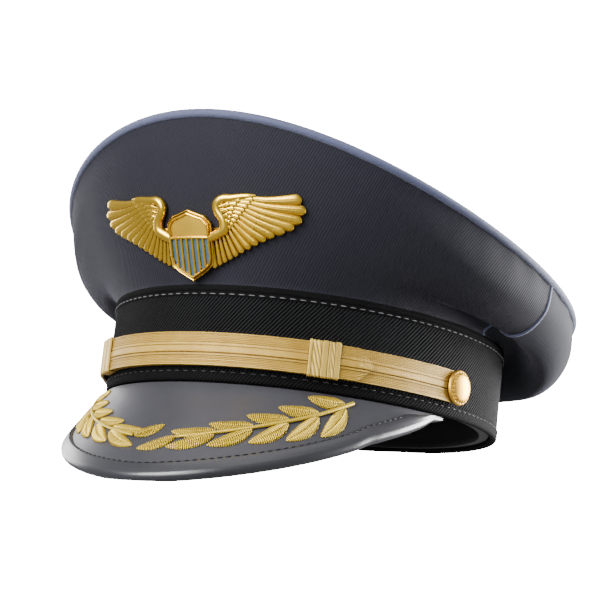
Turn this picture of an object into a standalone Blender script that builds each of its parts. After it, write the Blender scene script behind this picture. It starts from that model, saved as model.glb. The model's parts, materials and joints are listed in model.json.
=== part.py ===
"""A peaked service cap, standing on its visor rim and the back of its band.

Everything is laid out in the cap's own frame: +Z along the axis of the band, the front of
the cap towards -Y, and the origin in the middle of the band's bottom edge. Every piece hangs
under one empty, "cap_stand", which tips that frame back until the cap rests on the floor.

A place on the cap is an angle round the band (0 at the front, 90 degrees at the wearer's
left), a distance out from the band's outer face, and a height above the band's bottom edge.
"""
import math

import bmesh
import bpy
import numpy as np
from mathutils import Vector

MM = 0.001
GAP = 0.3 * MM                # air between neighbouring pieces

# Head band
HALF_WIDTH = 87.0 * MM
HALF_LENGTH = 104.0 * MM
BAND_HEIGHT = 42.0 * MM
COVER_WALL = 1.4 * MM
FRAME_WALL = 1.8 * MM
SWEAT_WALL = 1.2 * MM
SWEAT_HEIGHT = 33.0 * MM
HEM_HEIGHT = 5.0 * MM
WELT_HEIGHT = 5.2 * MM
BINDING_PROUD = 0.2 * MM
FRAME_FOOT = 4.0 * MM
FRAME_HEAD = 2.0 * MM         # from the frame's top edge down from the band's top
BOW_LENGTH = 22.0 * MM
BOW_HEIGHT = 8.0 * MM
BOW_WALL = 1.0 * MM

# Visor
VISOR_REACH = 56.5 * MM
VISOR_HALF_ANGLE = 71.0       # degrees, where the rim meets the band
VISOR_END_ANGLE = 65.5
VISOR_SHAPE = (1.68, 1.15)    # powers of the outline
VISOR_DROOP = (53.4, 9.6)     # degrees at the front, and how much it steepens to the sides
VISOR_DROP = 1.0 * MM         # below the band's bottom edge
FLANGE_HEIGHT = 11.0 * MM
SKIN_WALL = 0.7 * MM
CORE_WALL = 1.2 * MM
RIM_WALL = 0.8 * MM
RIM_WIDTH = 8.5 * MM
LINING_START = 1.8 * MM       # from the band down the visor to its lining

# Gold sprays on the visor
SPRAY_WALL = 1.4 * MM
SPRAY_START = 0.9             # degrees off the centre line
SPRAY_END = 46.0
SPRAY_LEAVES = 5

# Crown
CROWN_OVERHANG = (27.8 * MM, -3.7 * MM, -3.0 * MM)   # mean, front to back, front and back to sides
CROWN_RISE = (33.4 * MM, 27.4 * MM, 9.0 * MM)        # above the band's top, same three terms
CLOTH_WALL = 1.5 * MM
WALL_BULGE = 3.0 * MM
PIPING_RADIUS = 2.0 * MM
TOP_PUFF = 3.0 * MM
TOP_WALL = 1.2 * MM
SEAM_ANGLE = 91.0
SEAM_HALF = 0.8               # degrees, half the width of a seam piping
SEAM_PROUD = 0.6 * MM
SLACK_START = 40.0            # degrees, where the cloth wall begins to fold over
SLACK_FULL = 142.0            # degrees, where the sag at the back is full
HOOP_RADIUS = 1.1 * MM
HOOP_INSET = (7.0 * MM, 5.0 * MM)
STAY_WALL = 1.2 * MM
STAY_GAP = 0.5 * MM
STAY_HALF_ANGLE = 44.0
LINING_WALL = 1.0 * MM
LINING_DEPTH = 6.0 * MM
LINING_SPREAD = 0.88          # share of the crown's plan that the lining's top covers
SHIELD_WALL = 0.6 * MM
SHIELD_SPREAD = 0.42

# How the slack wall runs out from the band's top to the piping: each point is a share of the
# overhang and a height above the band's top.
SIDE_FOLD = ((0.0, 1.7), (0.17, 5.3), (0.32, 1.6), (0.44, 0.6), (0.62, 2.2), (0.80, 6.6), (0.95, 13.5))
REAR_FOLD = ((0.0, 1.7), (0.16, 3.5), (0.30, -2.6), (0.47, -10.0), (0.70, -13.5), (0.93, -10.0), (1.07, -1.0))
FRONT_SHARES = (0.02, 0.12, 0.26, 0.40, 0.55, 0.70, 0.85)

# Chin strap, slides and buttons
STRAP_HEIGHT = 13.3 * MM      # centre line above the band's bottom edge
STRAP_WIDTH = 14.0 * MM
STRAP_WALL = 1.2 * MM
STRAP_OFF = 1.3 * MM          # between the band and the strap
STRAP_TIP = 50.5
STRAP_POINT = 4.0             # degrees that the pointed tip takes
STRAP_BACK = -44.0            # where the under layer ends
STRAP_STEP = (-54.0, -46.0)   # where the upper layer comes down to the band
SLIDE_START = 33.4
SLIDE_LENGTH = 13.5 * MM
SLIDE_MARGIN = 1.5 * MM       # above and below the strap, walls included
SLIDE_WALL = 0.5 * MM
SLIDE_FACE = 0.8 * MM
BUTTON_ANGLE = 78.2
BUTTON_RADIUS = 7.8 * MM
BUTTON_DOME = 4.6 * MM
BUTTON_EDGE = 1.2 * MM
SHANK_RADIUS = 1.3 * MM
SHANK_FIT = 0.5 * MM
WASHER_RADIUS = 5.0 * MM
WASHER_WALL = 0.6 * MM
CLIP_RADIUS = 3.6 * MM
CLIP_WALL = 0.7 * MM

# Badge; heights are above the band's top
WING_WALL = 1.4 * MM
WING_SPAN = 30.0              # degrees to each tip
WING_ROOT = (7.0 * MM, 29.0 * MM)
WING_TIP = 31.5 * MM
WING_RISE = 9.5 * MM
WING_FEATHER = 1.1 * MM
FEATHER_COUNT = 8
PLATE_WALL = 0.8 * MM
SHIELD_FACE = 1.1 * MM
SHIELD_HALF = 11.2 * MM
SHIELD_FOOT = 1.8 * MM
SHIELD_HEIGHT = 28.9 * MM
SHIELD_CHIEF = 11.0 * MM
SHIELD_POINT = 12.0 * MM      # height of the pointed foot
PLATE_MARGIN = 0.8 * MM
SHIELD_BORDER = 1.5 * MM
BAR_COUNT = 5
BAR_WIDTH = 1.0 * MM
POST_ANGLE = 15.0
POST_HEIGHT = 25.0 * MM
POST_RADIUS = 1.2 * MM
NUT_RADIUS = 4.5 * MM
NUT_WALL = 1.6 * MM

# How far the leather rim and the back of the hem settle on the floor
RIM_SETTLE = 0.8 * MM
HEM_SETTLE = 0.45 * MM

RING_COLUMNS = 48
FINE_STEP = 2.5               # degrees between the strap's columns

FINISHES = {
    "cloth": ((0.035, 0.036, 0.048), 0.9, 0.0),
    "piping": ((0.115, 0.125, 0.21), 0.8, 0.0),
    "braid": ((0.008, 0.008, 0.009), 0.7, 0.0),
    "binding": ((0.012, 0.012, 0.014), 0.6, 0.0),
    "leather": ((0.10, 0.10, 0.115), 0.35, 0.0),
    "rim": ((0.05, 0.05, 0.058), 0.22, 0.0),
    "sweat": ((0.03, 0.022, 0.018), 0.55, 0.0),
    "board": ((0.16, 0.13, 0.09), 0.85, 0.0),
    "lining": ((0.02, 0.02, 0.028), 0.4, 0.0),
    "film": ((0.55, 0.57, 0.58), 0.1, 0.0),
    "bullion": ((0.72, 0.45, 0.09), 0.38, 0.9),
    "gilt": ((0.78, 0.50, 0.14), 0.25, 1.0),
    "enamel": ((0.10, 0.19, 0.27), 0.15, 0.0),
    "steel": ((0.42, 0.42, 0.42), 0.35, 1.0),
}


def clear_scene():
    """Take every object out of the open scene."""
    for item in list(bpy.data.objects):
        bpy.data.objects.remove(item, do_unlink=True)


def finish_material(node, finish):
    """A piece's own material: colour, roughness and metallic value."""
    colour, roughness, metallic = FINISHES[finish]
    material = bpy.data.materials.new(node + "_" + finish)
    material.use_nodes = True
    shader = material.node_tree.nodes["Principled BSDF"]
    shader.inputs["Base Color"].default_value = (*colour, 1.0)
    shader.inputs["Roughness"].default_value = roughness
    shader.inputs["Metallic"].default_value = metallic
    return material


def outward(angle):
    """Unit normal of the band's oval at an angle in degrees."""
    t = math.radians(angle)
    normal = Vector((math.sin(t) / HALF_WIDTH, -math.cos(t) / HALF_LENGTH, 0.0))
    return normal.normalized()


def place(angle, offset, height):
    """Points at angles in degrees, offsets from the band's outer face, and heights."""
    t = np.radians(angle)
    x = (HALF_WIDTH + offset) * np.sin(t)
    y = -(HALF_LENGTH + offset) * np.cos(t)
    return np.stack(np.broadcast_arrays(x, y, height), axis=-1)


def point(angle, offset, height):
    """One such place as a vector."""
    return Vector([float(value) for value in place(angle, offset, height)])


def smooth_step(value, low, high):
    """0 below low, 1 above high, and an even S between them."""
    share = np.clip((np.abs(value) - low) / (high - low), 0.0, 1.0)
    return share * share * (3.0 - 2.0 * share)


def shifted(path, distance):
    """An open path in a plane, moved to its left by a distance, with mitred corners."""
    path = np.asarray(path, float)
    steps = np.diff(path, axis=0)
    steps /= np.linalg.norm(steps, axis=1)[:, None]
    normals = np.stack([-steps[:, 1], steps[:, 0]], axis=1)
    before = np.vstack([normals[:1], normals])
    after = np.vstack([normals, normals[-1:]])
    mean = before + after
    mean /= np.linalg.norm(mean, axis=1)[:, None]
    mitre = 1.0 / np.maximum((mean * after).sum(axis=1), 0.6)
    return path + mean * (mitre * distance)[:, None]


def strip_section(path, left_start, left_end):
    """The closed outline between two paths shifted to the left of one path."""
    return np.vstack([shifted(path, left_start), shifted(path, left_end)[::-1]])


def grid_faces(rows, columns, wrap_rows, wrap_columns):
    """Four-sided faces of a grid of points."""
    faces = []
    for row in range(rows if wrap_rows else rows - 1):
        lower = (row + 1) % rows
        for column in range(columns if wrap_columns else columns - 1):
            right = (column + 1) % columns
            faces.append((row * columns + column, row * columns + right,
                          lower * columns + right, lower * columns + column))
    return faces


def make_piece(node, points, faces, finish, pivot=None):
    """A closed mesh with its faces pointing out, on a pivot point of the cap's frame."""
    pivot = Vector((0.0, 0.0, 0.0)) if pivot is None else pivot
    work = bmesh.new()
    corners = [work.verts.new(Vector(place_) - pivot) for place_ in np.asarray(points, float)]
    for face in faces:
        work.faces.new([corners[index] for index in face])
    bmesh.ops.recalc_face_normals(work, faces=work.faces)
    if work.calc_volume(signed=True) < 0.0:
        bmesh.ops.reverse_faces(work, faces=work.faces)
    mesh = bpy.data.meshes.new(node)
    work.to_mesh(mesh)
    work.free()
    mesh.shade_smooth()
    mesh.set_sharp_from_angle(angle=math.radians(40.0))
    mesh.materials.append(finish_material(node, finish))
    piece = bpy.data.objects.new(node, mesh)
    bpy.context.scene.collection.objects.link(piece)
    piece.parent = bpy.data.objects["cap_stand"]
    piece.location = pivot
    return piece


def make_band(node, angles, section, finish, closed, pivot=None):
    """Carry a closed outline round the cap; section(angle) gives its offsets and heights."""
    outlines = np.array([section(angle) for angle in angles])
    points = place(np.asarray(angles)[:, None], outlines[..., 0], outlines[..., 1])
    columns, rows = points.shape[:2]
    faces = grid_faces(columns, rows, closed, True)
    if not closed:
        faces.append(tuple(range(rows)))
        faces.append(tuple((columns - 1) * rows + row for row in range(rows)))
    return make_piece(node, points.reshape(-1, 3), faces, finish, pivot)


def make_dome(node, rings, first, last, finish, pivot=None):
    """A closed skin of rings between two end points."""
    rings = np.asarray(rings)
    count, columns = rings.shape[:2]
    points = np.vstack([rings.reshape(-1, 3), [first], [last]])
    faces = grid_faces(count, columns, False, True)
    for column in range(columns):
        right = (column + 1) % columns
        faces.append((count * columns, right, column))
        faces.append((count * columns + 1, (count - 1) * columns + column,
                      (count - 1) * columns + right))
    return make_piece(node, points, faces, finish, pivot)


def make_turned(node, profile, segments, finish, origin, axis):
    """Turn a closed profile of (radius, height) about an axis through origin."""
    turns = np.linspace(0.0, 2.0 * np.pi, segments, endpoint=False)
    rings = [np.stack([radius * np.cos(turns), radius * np.sin(turns), np.full(segments, height)],
                      axis=1) for radius, height in profile if radius > 0.0]
    if profile[0][0] == 0.0:
        piece = make_dome(node, rings, (0.0, 0.0, profile[0][1]), (0.0, 0.0, profile[-1][1]), finish)
    else:
        points = np.vstack(rings)
        piece = make_piece(node, points, grid_faces(len(rings), segments, True, True), finish)
    piece.location = origin
    piece.rotation_euler = axis.to_track_quat("Z", "Y").to_euler()
    return piece


def make_cutter(node, radius, half_length, origin, axis):
    """A round bar that only cuts."""
    profile = [(0.0, half_length), (radius, half_length), (radius, -half_length), (0.0, -half_length)]
    cutter = make_turned(node, profile, 16, "steel", origin, axis)
    hide_cutter(cutter)
    return cutter


def hide_cutter(cutter):
    """Show a cutter as wire only, and keep it out of the model."""
    cutter.hide_render = True
    cutter.display_type = "WIRE"


def cut_with(piece, cutter):
    """Take a cutter's shape out of a piece."""
    modifier = piece.modifiers.new("cut_" + cutter.name, "BOOLEAN")
    modifier.operation = "DIFFERENCE"
    modifier.solver = "EXACT"
    modifier.object = cutter


def full_ring():
    """Angles of the columns of a whole ring."""
    return np.arange(RING_COLUMNS) * 360.0 / RING_COLUMNS


def arc(start, end, step):
    """Angles from start to end in even steps near the given one."""
    return np.linspace(start, end, max(2, round(abs(end - start) / step) + 1))


# ---- head band -------------------------------------------------------------------------

FRAME_OUT = -(COVER_WALL + GAP)
FRAME_IN = FRAME_OUT - FRAME_WALL
FLANGE_OUT = FRAME_IN - GAP
FLANGE_DEEP = 2.0 * GAP + SKIN_WALL + CORE_WALL
SWEAT_OUT = FLANGE_OUT - FLANGE_DEEP - GAP
SWEAT_IN = SWEAT_OUT - SWEAT_WALL


def box_section(outer, inner, low, high):
    """A plain upright wall's outline."""
    return lambda angle: [(outer, low), (outer, high), (inner, high), (inner, low)]


def build_band():
    """The stiff frame, its braid cover, the two bindings and the sweatband."""
    ring = full_ring()
    frame = make_band("band_frame", ring,
                      box_section(FRAME_OUT, FRAME_IN, FRAME_FOOT, BAND_HEIGHT - FRAME_HEAD), "board", True)
    cover = make_band("band_cover", ring,
                      box_section(0.0, -COVER_WALL, HEM_HEIGHT + GAP, BAND_HEIGHT - WELT_HEIGHT - GAP),
                      "braid", True)
    lip = 0.35 * (COVER_WALL + BINDING_PROUD)

    def welt(angle):
        low = BAND_HEIGHT - WELT_HEIGHT
        return [(BINDING_PROUD, low), (BINDING_PROUD, BAND_HEIGHT - lip),
                (BINDING_PROUD - lip, BAND_HEIGHT), (-COVER_WALL + lip, BAND_HEIGHT),
                (-COVER_WALL, BAND_HEIGHT - lip), (-COVER_WALL, low)]

    def hem(angle):
        return [(BINDING_PROUD, HEM_HEIGHT), (BINDING_PROUD, lip), (BINDING_PROUD - lip, 0.0),
                (-COVER_WALL + lip, 0.0), (-COVER_WALL, lip), (-COVER_WALL, HEM_HEIGHT)]

    make_band("band_top_binding", ring, welt, "binding", True)
    hem_ring = make_band("band_bottom_binding", ring, hem, "binding", True)
    sweat_low = VISOR_DROP
    make_band("sweatband", ring, box_section(SWEAT_OUT, SWEAT_IN, sweat_low, sweat_low + SWEAT_HEIGHT),
              "sweat", True)
    build_bow(sweat_low)
    return frame, cover, hem_ring


def build_bow(sweat_low):
    """The small flat bow on the sweatband's back seam."""
    half_angle = math.degrees(0.5 * BOW_LENGTH / HALF_WIDTH)
    middle = sweat_low + 0.35 * SWEAT_HEIGHT
    outer = SWEAT_IN - 2.0 * GAP

    def section(angle):
        share = abs(angle - 180.0) / half_angle
        half = 0.5 * BOW_HEIGHT * (0.35 + 0.65 * math.sin(0.5 * math.pi * min(1.0, 1.3 * share)))
        return [(outer, middle - half), (outer, middle + half),
                (outer - BOW_WALL, middle + half), (outer - BOW_WALL, middle - half)]

    make_band("sweatband_bow", arc(180.0 - half_angle, 180.0 + half_angle, 3.0), section, "sweat", False)


# ---- visor -----------------------------------------------------------------------------

def visor_reach(angle):
    """Distance from the band to the rim's outer edge, measured down the visor."""
    share = np.clip(np.abs(angle) / VISOR_HALF_ANGLE, 0.0, 1.0)
    return VISOR_REACH * (1.0 - share ** VISOR_SHAPE[0]) ** VISOR_SHAPE[1]


def visor_slope(angle):
    """Droop below level, in radians."""
    return np.radians(VISOR_DROOP[0] + VISOR_DROOP[1] * (1.0 - np.cos(np.radians(angle))))


RIM_RADIUS = 0.5 * (4.0 * GAP + 2.0 * SKIN_WALL + CORE_WALL + 2.0 * RIM_WALL)
RIM_BACK = RIM_RADIUS + 0.2 * MM


def sheet_reach(angle):
    """Length of the sheets inside the rim."""
    return np.maximum(visor_reach(angle) - RIM_BACK, 0.8 * MM)


def visor_place(angle, down, lift):
    """Offset and height of a place on the visor's upper face, lifted off it."""
    slope = visor_slope(angle)
    offset = down * np.cos(slope) + lift * np.sin(slope)
    height = -VISOR_DROP - down * np.sin(slope) + lift * np.cos(slope)
    return offset, height


def visor_path(angle, with_flange):
    """The upper face in section: flange, step out under the band, then the droop."""
    step = 0.8 * MM
    reach = sheet_reach(angle)
    droop = [visor_place(angle, share * reach, 0.0) for share in (0.5, 1.0)]
    if not with_flange:
        return [visor_place(angle, min(LINING_START, 0.6 * reach), 0.0)] + droop[-1:]
    return [(FLANGE_OUT, FLANGE_HEIGHT), (FLANGE_OUT, 0.2 * MM), (FLANGE_OUT + step, 0.2 * MM - step),
            (-2.0 * GAP, -VISOR_DROP + GAP), (0.0, -VISOR_DROP)] + droop


def build_visor():
    """Three sheets and the rim binding that holds them."""
    angles = arc(-VISOR_END_ANGLE, VISOR_END_ANGLE, 7.5)
    core = SKIN_WALL + GAP
    under = core + CORE_WALL + GAP
    for node, start, wall, flange, finish in (
            ("visor_top_cover", 0.0, SKIN_WALL, True, "leather"),
            ("visor_core", core, CORE_WALL, True, "board"),
            ("visor_lining", under, SKIN_WALL, False, "leather")):
        section = visor_sheet_section(start, wall, flange)
        make_band(node, angles, section, finish, False)
    return make_band("visor_binding", angles, rim_section, "rim", False)


def visor_sheet_section(start, wall, flange):
    """Outline of one sheet, given its depth below the upper face and its thickness."""
    return lambda angle: strip_section(visor_path(angle, flange), -start, -start - wall)


def rim_section(angle):
    """The rim binding: two legs round the visor's edge and a rounded outer lip."""
    reach = float(sheet_reach(angle))
    leg = max(reach - (RIM_WIDTH - RIM_BACK), 0.35 * reach)
    top = GAP + RIM_WALL
    bottom = top - 2.0 * RIM_RADIUS
    centre = 0.5 * (top + bottom)
    outline = [(leg, top)]
    for turn in np.linspace(0.5 * np.pi, -0.5 * np.pi, 7):
        outline.append((reach + 0.2 * MM + RIM_RADIUS * math.cos(turn), centre + RIM_RADIUS * math.sin(turn)))
    outline += [(leg, bottom), (leg, bottom + RIM_WALL), (reach + GAP, bottom + RIM_WALL),
                (reach + GAP, GAP), (leg, GAP)]
    return [visor_place(angle, down, lift) for down, lift in outline]


def build_spray(node, side):
    """One gold leaf spray on the visor, from beside the centre line to the band."""
    def section(angle):
        turn = abs(angle)
        share = (turn - SPRAY_START) / (SPRAY_END - SPRAY_START)
        reach = float(visor_reach(turn))
        lobe = abs(math.sin(math.pi * (SPRAY_LEAVES + 0.5) * share))
        near = reach * (0.60 - 0.52 * share)
        far = reach * (0.62 - 0.42 * share * share)
        spread = 0.10 * reach * (1.0 - share)
        upper = near - spread - 0.05 * VISOR_REACH * lobe
        lower = far + spread + 0.02 * VISOR_REACH * lobe
        low = 0.4 * MM
        high = low + SPRAY_WALL
        return [visor_place(angle, upper, low), visor_place(angle, upper, high),
                visor_place(angle, 0.5 * (upper + lower), high), visor_place(angle, lower, high),
                visor_place(angle, lower, low)]

    angles = side * arc(SPRAY_START, SPRAY_END, 1.6)
    make_band(node, angles, section, "bullion", False)


# ---- crown -----------------------------------------------------------------------------

def wave(terms, angle):
    """A mean value with a front-to-back and a front-and-back-to-sides term."""
    t = np.radians(angle)
    return terms[0] + terms[1] * np.cos(t) + terms[2] * np.cos(2.0 * t)


def edge_offset(angle):
    """Plan distance from the band's face to the crown's piping."""
    return wave(CROWN_OVERHANG, angle)


def edge_height(angle):
    """Height of the crown's piping."""
    return BAND_HEIGHT + wave(CROWN_RISE, angle)


WALL_END = (0.5 * MM, -(PIPING_RADIUS + 0.7 * MM))   # from the piping's centre to the wall's end


def front_wall(angle, share, lift=0.0):
    """Offset and height on the taut front wall; share runs from the band to the piping."""
    foot = GAP + 0.1 * MM
    rise = edge_height(angle) + WALL_END[1] - BAND_HEIGHT - foot
    run = edge_offset(angle) + WALL_END[0]
    lean = run + WALL_BULGE * math.pi * np.cos(math.pi * share)
    length = np.hypot(lean, rise)
    offset = run * share + WALL_BULGE * np.sin(math.pi * share) + lift * rise / length
    height = BAND_HEIGHT + foot + rise * share - lift * lean / length
    return offset, height


def wall_path(angle):
    """The crown wall's outer face in section, from the band's top to the piping."""
    run = edge_offset(angle)
    taut = np.array([front_wall(angle, share) for share in FRONT_SHARES])
    side = np.array([(share * run, BAND_HEIGHT + rise * MM) for share, rise in SIDE_FOLD])
    rear = np.array([(share * run, BAND_HEIGHT + rise * MM) for share, rise in REAR_FOLD])
    slack = smooth_step(angle, SLACK_START, SEAM_ANGLE)
    back = smooth_step(angle, SEAM_ANGLE - 12.0, SLACK_FULL)
    body = (taut * (1.0 - slack) + side * slack) * (1.0 - back) + rear * back
    foot = (0.0, BAND_HEIGHT + GAP + 0.1 * MM)
    end = (run + WALL_END[0], edge_height(angle) + WALL_END[1])
    return np.vstack([[foot], body, [end]])


def wall_section(angle):
    """Cloth between the wall's outer face and its thickness inwards."""
    return strip_section(wall_path(angle), 0.0, CLOTH_WALL)


def build_crown_wall():
    """Front quarter, two back quarters, and a piping in each side seam."""
    edge = SEAM_HALF + 0.2
    front = make_band("crown_front_quarter", arc(-SEAM_ANGLE + edge, SEAM_ANGLE - edge, 7.6),
                      wall_section, "cloth", False)
    for side, word in ((1, "left"), (-1, "right")):
        make_band("crown_rear_quarter_" + word, side * arc(SEAM_ANGLE + edge, 179.85, 7.3),
                  wall_section, "cloth", False)
        seam = [side * SEAM_ANGLE - SEAM_HALF, side * SEAM_ANGLE + SEAM_HALF]
        make_band("seam_piping_" + word, seam, seam_section, "piping", False)
    return front


def seam_section(angle):
    """A seam piping stands a little proud of the cloth on both sides of it."""
    return strip_section(wall_path(angle), -SEAM_PROUD, CLOTH_WALL)


def round_section(angle, radius, inset, drop, sides):
    """A round tube's outline beside the crown's edge."""
    turns = np.linspace(0.0, 2.0 * np.pi, sides, endpoint=False)
    offset = edge_offset(angle) - inset + radius * np.cos(turns)
    height = edge_height(angle) - drop + radius * np.sin(turns)
    return np.stack([offset, height], axis=1)


def crown_plan(share, angle, inset):
    """Plan place on the crown's top; share runs from its middle to its edge."""
    rim = place(angle, edge_offset(angle) - inset, 0.0)[..., :2]
    centre = np.array([0.0, 0.5 * (rim[0, 1] + rim[len(rim) // 2, 1])])
    return centre + share * (rim - centre)


def crown_height(share, angle):
    """Height of an even film stretched in the piping ring."""
    t = np.radians(angle)
    return (BAND_HEIGHT + CROWN_RISE[0] + CROWN_RISE[1] * share * np.cos(t)
            + CROWN_RISE[2] * share ** 2 * np.cos(2.0 * t))


def crown_ring(share, angle, inset, drop):
    """One ring of points on a skin under the crown's film."""
    plan = crown_plan(share, angle, inset)
    return np.column_stack([plan, crown_height(share, angle) - drop])


def build_crown_top():
    """The puffed top cloth, its piping and the spring hoop that keeps it tight."""
    ring = full_ring()
    inset = PIPING_RADIUS + 0.5 * MM
    shares = (0.25, 0.5, 0.7, 0.85, 0.95, 1.0)
    edge = 0.5 * TOP_WALL
    tops = [crown_ring(share, ring, inset, -edge - TOP_PUFF * (1.0 - share ** 8)) for share in shares]
    unders = [crown_ring(share, ring, inset, TOP_WALL - edge - TOP_PUFF * (1.0 - share ** 8))
              for share in reversed(shares)]
    centre = crown_ring(0.0, ring, inset, 0.0)[0]
    lift = np.array([0.0, 0.0, edge + TOP_PUFF])
    make_dome("crown_top", tops + unders, centre + lift, centre + lift - [0.0, 0.0, TOP_WALL], "cloth")
    make_band("crown_piping", ring, lambda angle: round_section(angle, PIPING_RADIUS, 0.0, 0.0, 8),
              "piping", True)
    make_band("hoop_wire", ring, lambda angle: round_section(angle, HOOP_RADIUS, *HOOP_INSET, 6),
              "steel", True)


def build_front_stay():
    """The stiff board that holds the front of the crown up."""
    def section(angle):
        low = 0.03
        high = 0.86 - 0.30 * (abs(angle) / STAY_HALF_ANGLE) ** 3
        start = -(CLOTH_WALL + STAY_GAP)
        shares = np.linspace(low, high, 5)
        outer = [front_wall(angle, share, start) for share in shares]
        inner = [front_wall(angle, share, start - STAY_WALL) for share in shares[::-1]]
        return np.array(outer + inner)

    return make_band("front_stay", arc(-STAY_HALF_ANGLE, STAY_HALF_ANGLE, 7.4), section, "board", False)


def build_lining():
    """The lining cup and the clear shield under its top."""
    ring = full_ring()
    inset = PIPING_RADIUS + 0.5 * MM
    low = BAND_HEIGHT - 8.0 * MM
    bend = BAND_HEIGHT + 6.0 * MM
    outer = FLANGE_OUT - GAP
    shares = (0.3, 0.6, LINING_SPREAD)
    outside = [crown_ring(share, ring, inset, LINING_DEPTH) for share in shares]
    outside += [place(ring, outer, height) for height in (bend, low)]
    inside = [place(ring, outer - LINING_WALL, height) for height in (low, bend - LINING_WALL)]
    inside += [crown_ring(share - 0.01, ring, inset, LINING_DEPTH + LINING_WALL)
               for share in reversed(shares)]
    centre = crown_ring(0.0, ring, inset, LINING_DEPTH)[0]
    make_dome("crown_lining", outside + inside, centre, centre - [0.0, 0.0, LINING_WALL], "lining")
    drop = LINING_DEPTH + LINING_WALL + 2.0 * GAP
    half = [crown_ring(share, ring[::2], inset, drop) for share in (0.5 * SHIELD_SPREAD, SHIELD_SPREAD)]
    under = [crown_ring(share, ring[::2], inset, drop + SHIELD_WALL)
             for share in (SHIELD_SPREAD, 0.5 * SHIELD_SPREAD)]
    top = crown_ring(0.0, ring, inset, drop)[0]
    make_dome("sweat_shield", half + under, top, top - [0.0, 0.0, SHIELD_WALL], "film")


# ---- chin strap ------------------------------------------------------------------------

UNDER_IN = STRAP_OFF
UPPER_IN = UNDER_IN + STRAP_WALL + GAP


def strap_pivot():
    """Middle of the line through the two button shanks."""
    shank = point(BUTTON_ANGLE, 0.0, STRAP_HEIGHT)
    return Vector((0.0, shank.y, shank.z))


def build_strap(cutters):
    """Two overlapping lengths of braid, each buttoned at one end."""
    end = math.degrees(0.5 * STRAP_WIDTH / HALF_LENGTH)

    def half_width(distance):
        """Half the strap's width at a distance in degrees from its round or pointed end."""
        return 0.5 * STRAP_WIDTH * math.sqrt(max(0.04, 1.0 - (1.0 - min(1.0, distance / end)) ** 2))

    def outline(inner, half):
        return [(inner, STRAP_HEIGHT - half), (inner + STRAP_WALL, STRAP_HEIGHT - half),
                (inner + STRAP_WALL, STRAP_HEIGHT + half), (inner, STRAP_HEIGHT + half)]

    def upper(angle):
        step = np.clip((angle - STRAP_STEP[0]) / (STRAP_STEP[1] - STRAP_STEP[0]), 0.0, 1.0)
        inner = UNDER_IN + (UPPER_IN - UNDER_IN) * step
        point_share = min(1.0, 0.12 + 0.88 * (STRAP_TIP - angle) / STRAP_POINT)
        half = min(half_width(angle + BUTTON_ANGLE + end), 0.5 * STRAP_WIDTH * point_share)
        return outline(inner, half)

    def lower(angle):
        return outline(UNDER_IN, half_width(BUTTON_ANGLE + end - angle))

    ends = end * np.array([0.0, 0.12, 0.35, 0.7])
    start = -BUTTON_ANGLE - end
    upper_angles = np.concatenate([start + ends, arc(start + end, STRAP_TIP - STRAP_POINT, FINE_STEP),
                                   [STRAP_TIP]])
    lower_angles = np.concatenate([arc(STRAP_BACK, -start - end, FINE_STEP), (-start - ends)[::-1]])
    over = make_band("strap_upper", upper_angles, upper, "bullion", False, strap_pivot())
    under = make_band("strap_lower", lower_angles, lower, "bullion", False, strap_pivot())
    cut_with(over, cutters[-1])
    cut_with(under, cutters[1])


def bend_centre(angle):
    """Centre of the oval's own bend at an angle, where a slide seems to turn as it travels."""
    t = math.radians(angle)
    across = (HALF_WIDTH * math.cos(t)) ** 2 + (HALF_LENGTH * math.sin(t)) ** 2
    radius = across ** 1.5 / (HALF_WIDTH * HALF_LENGTH)
    return point(angle, 0.0, STRAP_HEIGHT) - outward(angle) * radius


def build_slide(node, side):
    """A flat loop that keeps the two strap layers together."""
    half_angle = 0.5 * math.degrees(SLIDE_LENGTH / HALF_LENGTH) * 1.08
    centre = side * (SLIDE_START + half_angle)
    inner = UNDER_IN - GAP
    outer = UPPER_IN + STRAP_WALL + GAP
    room = 0.5 * STRAP_WIDTH + GAP
    half = 0.5 * STRAP_WIDTH + SLIDE_MARGIN
    angles = arc(centre - half_angle, centre + half_angle, 2.4)
    loop_out = [(inner - SLIDE_WALL, -half), (outer + SLIDE_FACE, -half),
                (outer + SLIDE_FACE, half), (inner - SLIDE_WALL, half)]
    loop_in = [(inner, -room), (outer, -room), (outer, room), (inner, room)]
    shells = []
    for loop in (loop_out, loop_in):
        shells.append(np.array([[place(angle, offset, STRAP_HEIGHT + rise) for offset, rise in loop]
                                for angle in angles]))
    columns = len(angles)
    points = np.vstack([shell.reshape(-1, 3) for shell in shells])
    faces = grid_faces(columns, 4, False, True)
    inner_start = columns * 4
    faces += [tuple(index + inner_start for index in face[::-1]) for face in grid_faces(columns, 4, False, True)]
    for first in (0, (columns - 1) * 4):
        for corner in range(4):
            after = (corner + 1) % 4
            faces.append((first + corner, first + after, inner_start + first + after,
                          inner_start + first + corner))
    make_piece(node, points, faces, "gilt", bend_centre(centre))


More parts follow.
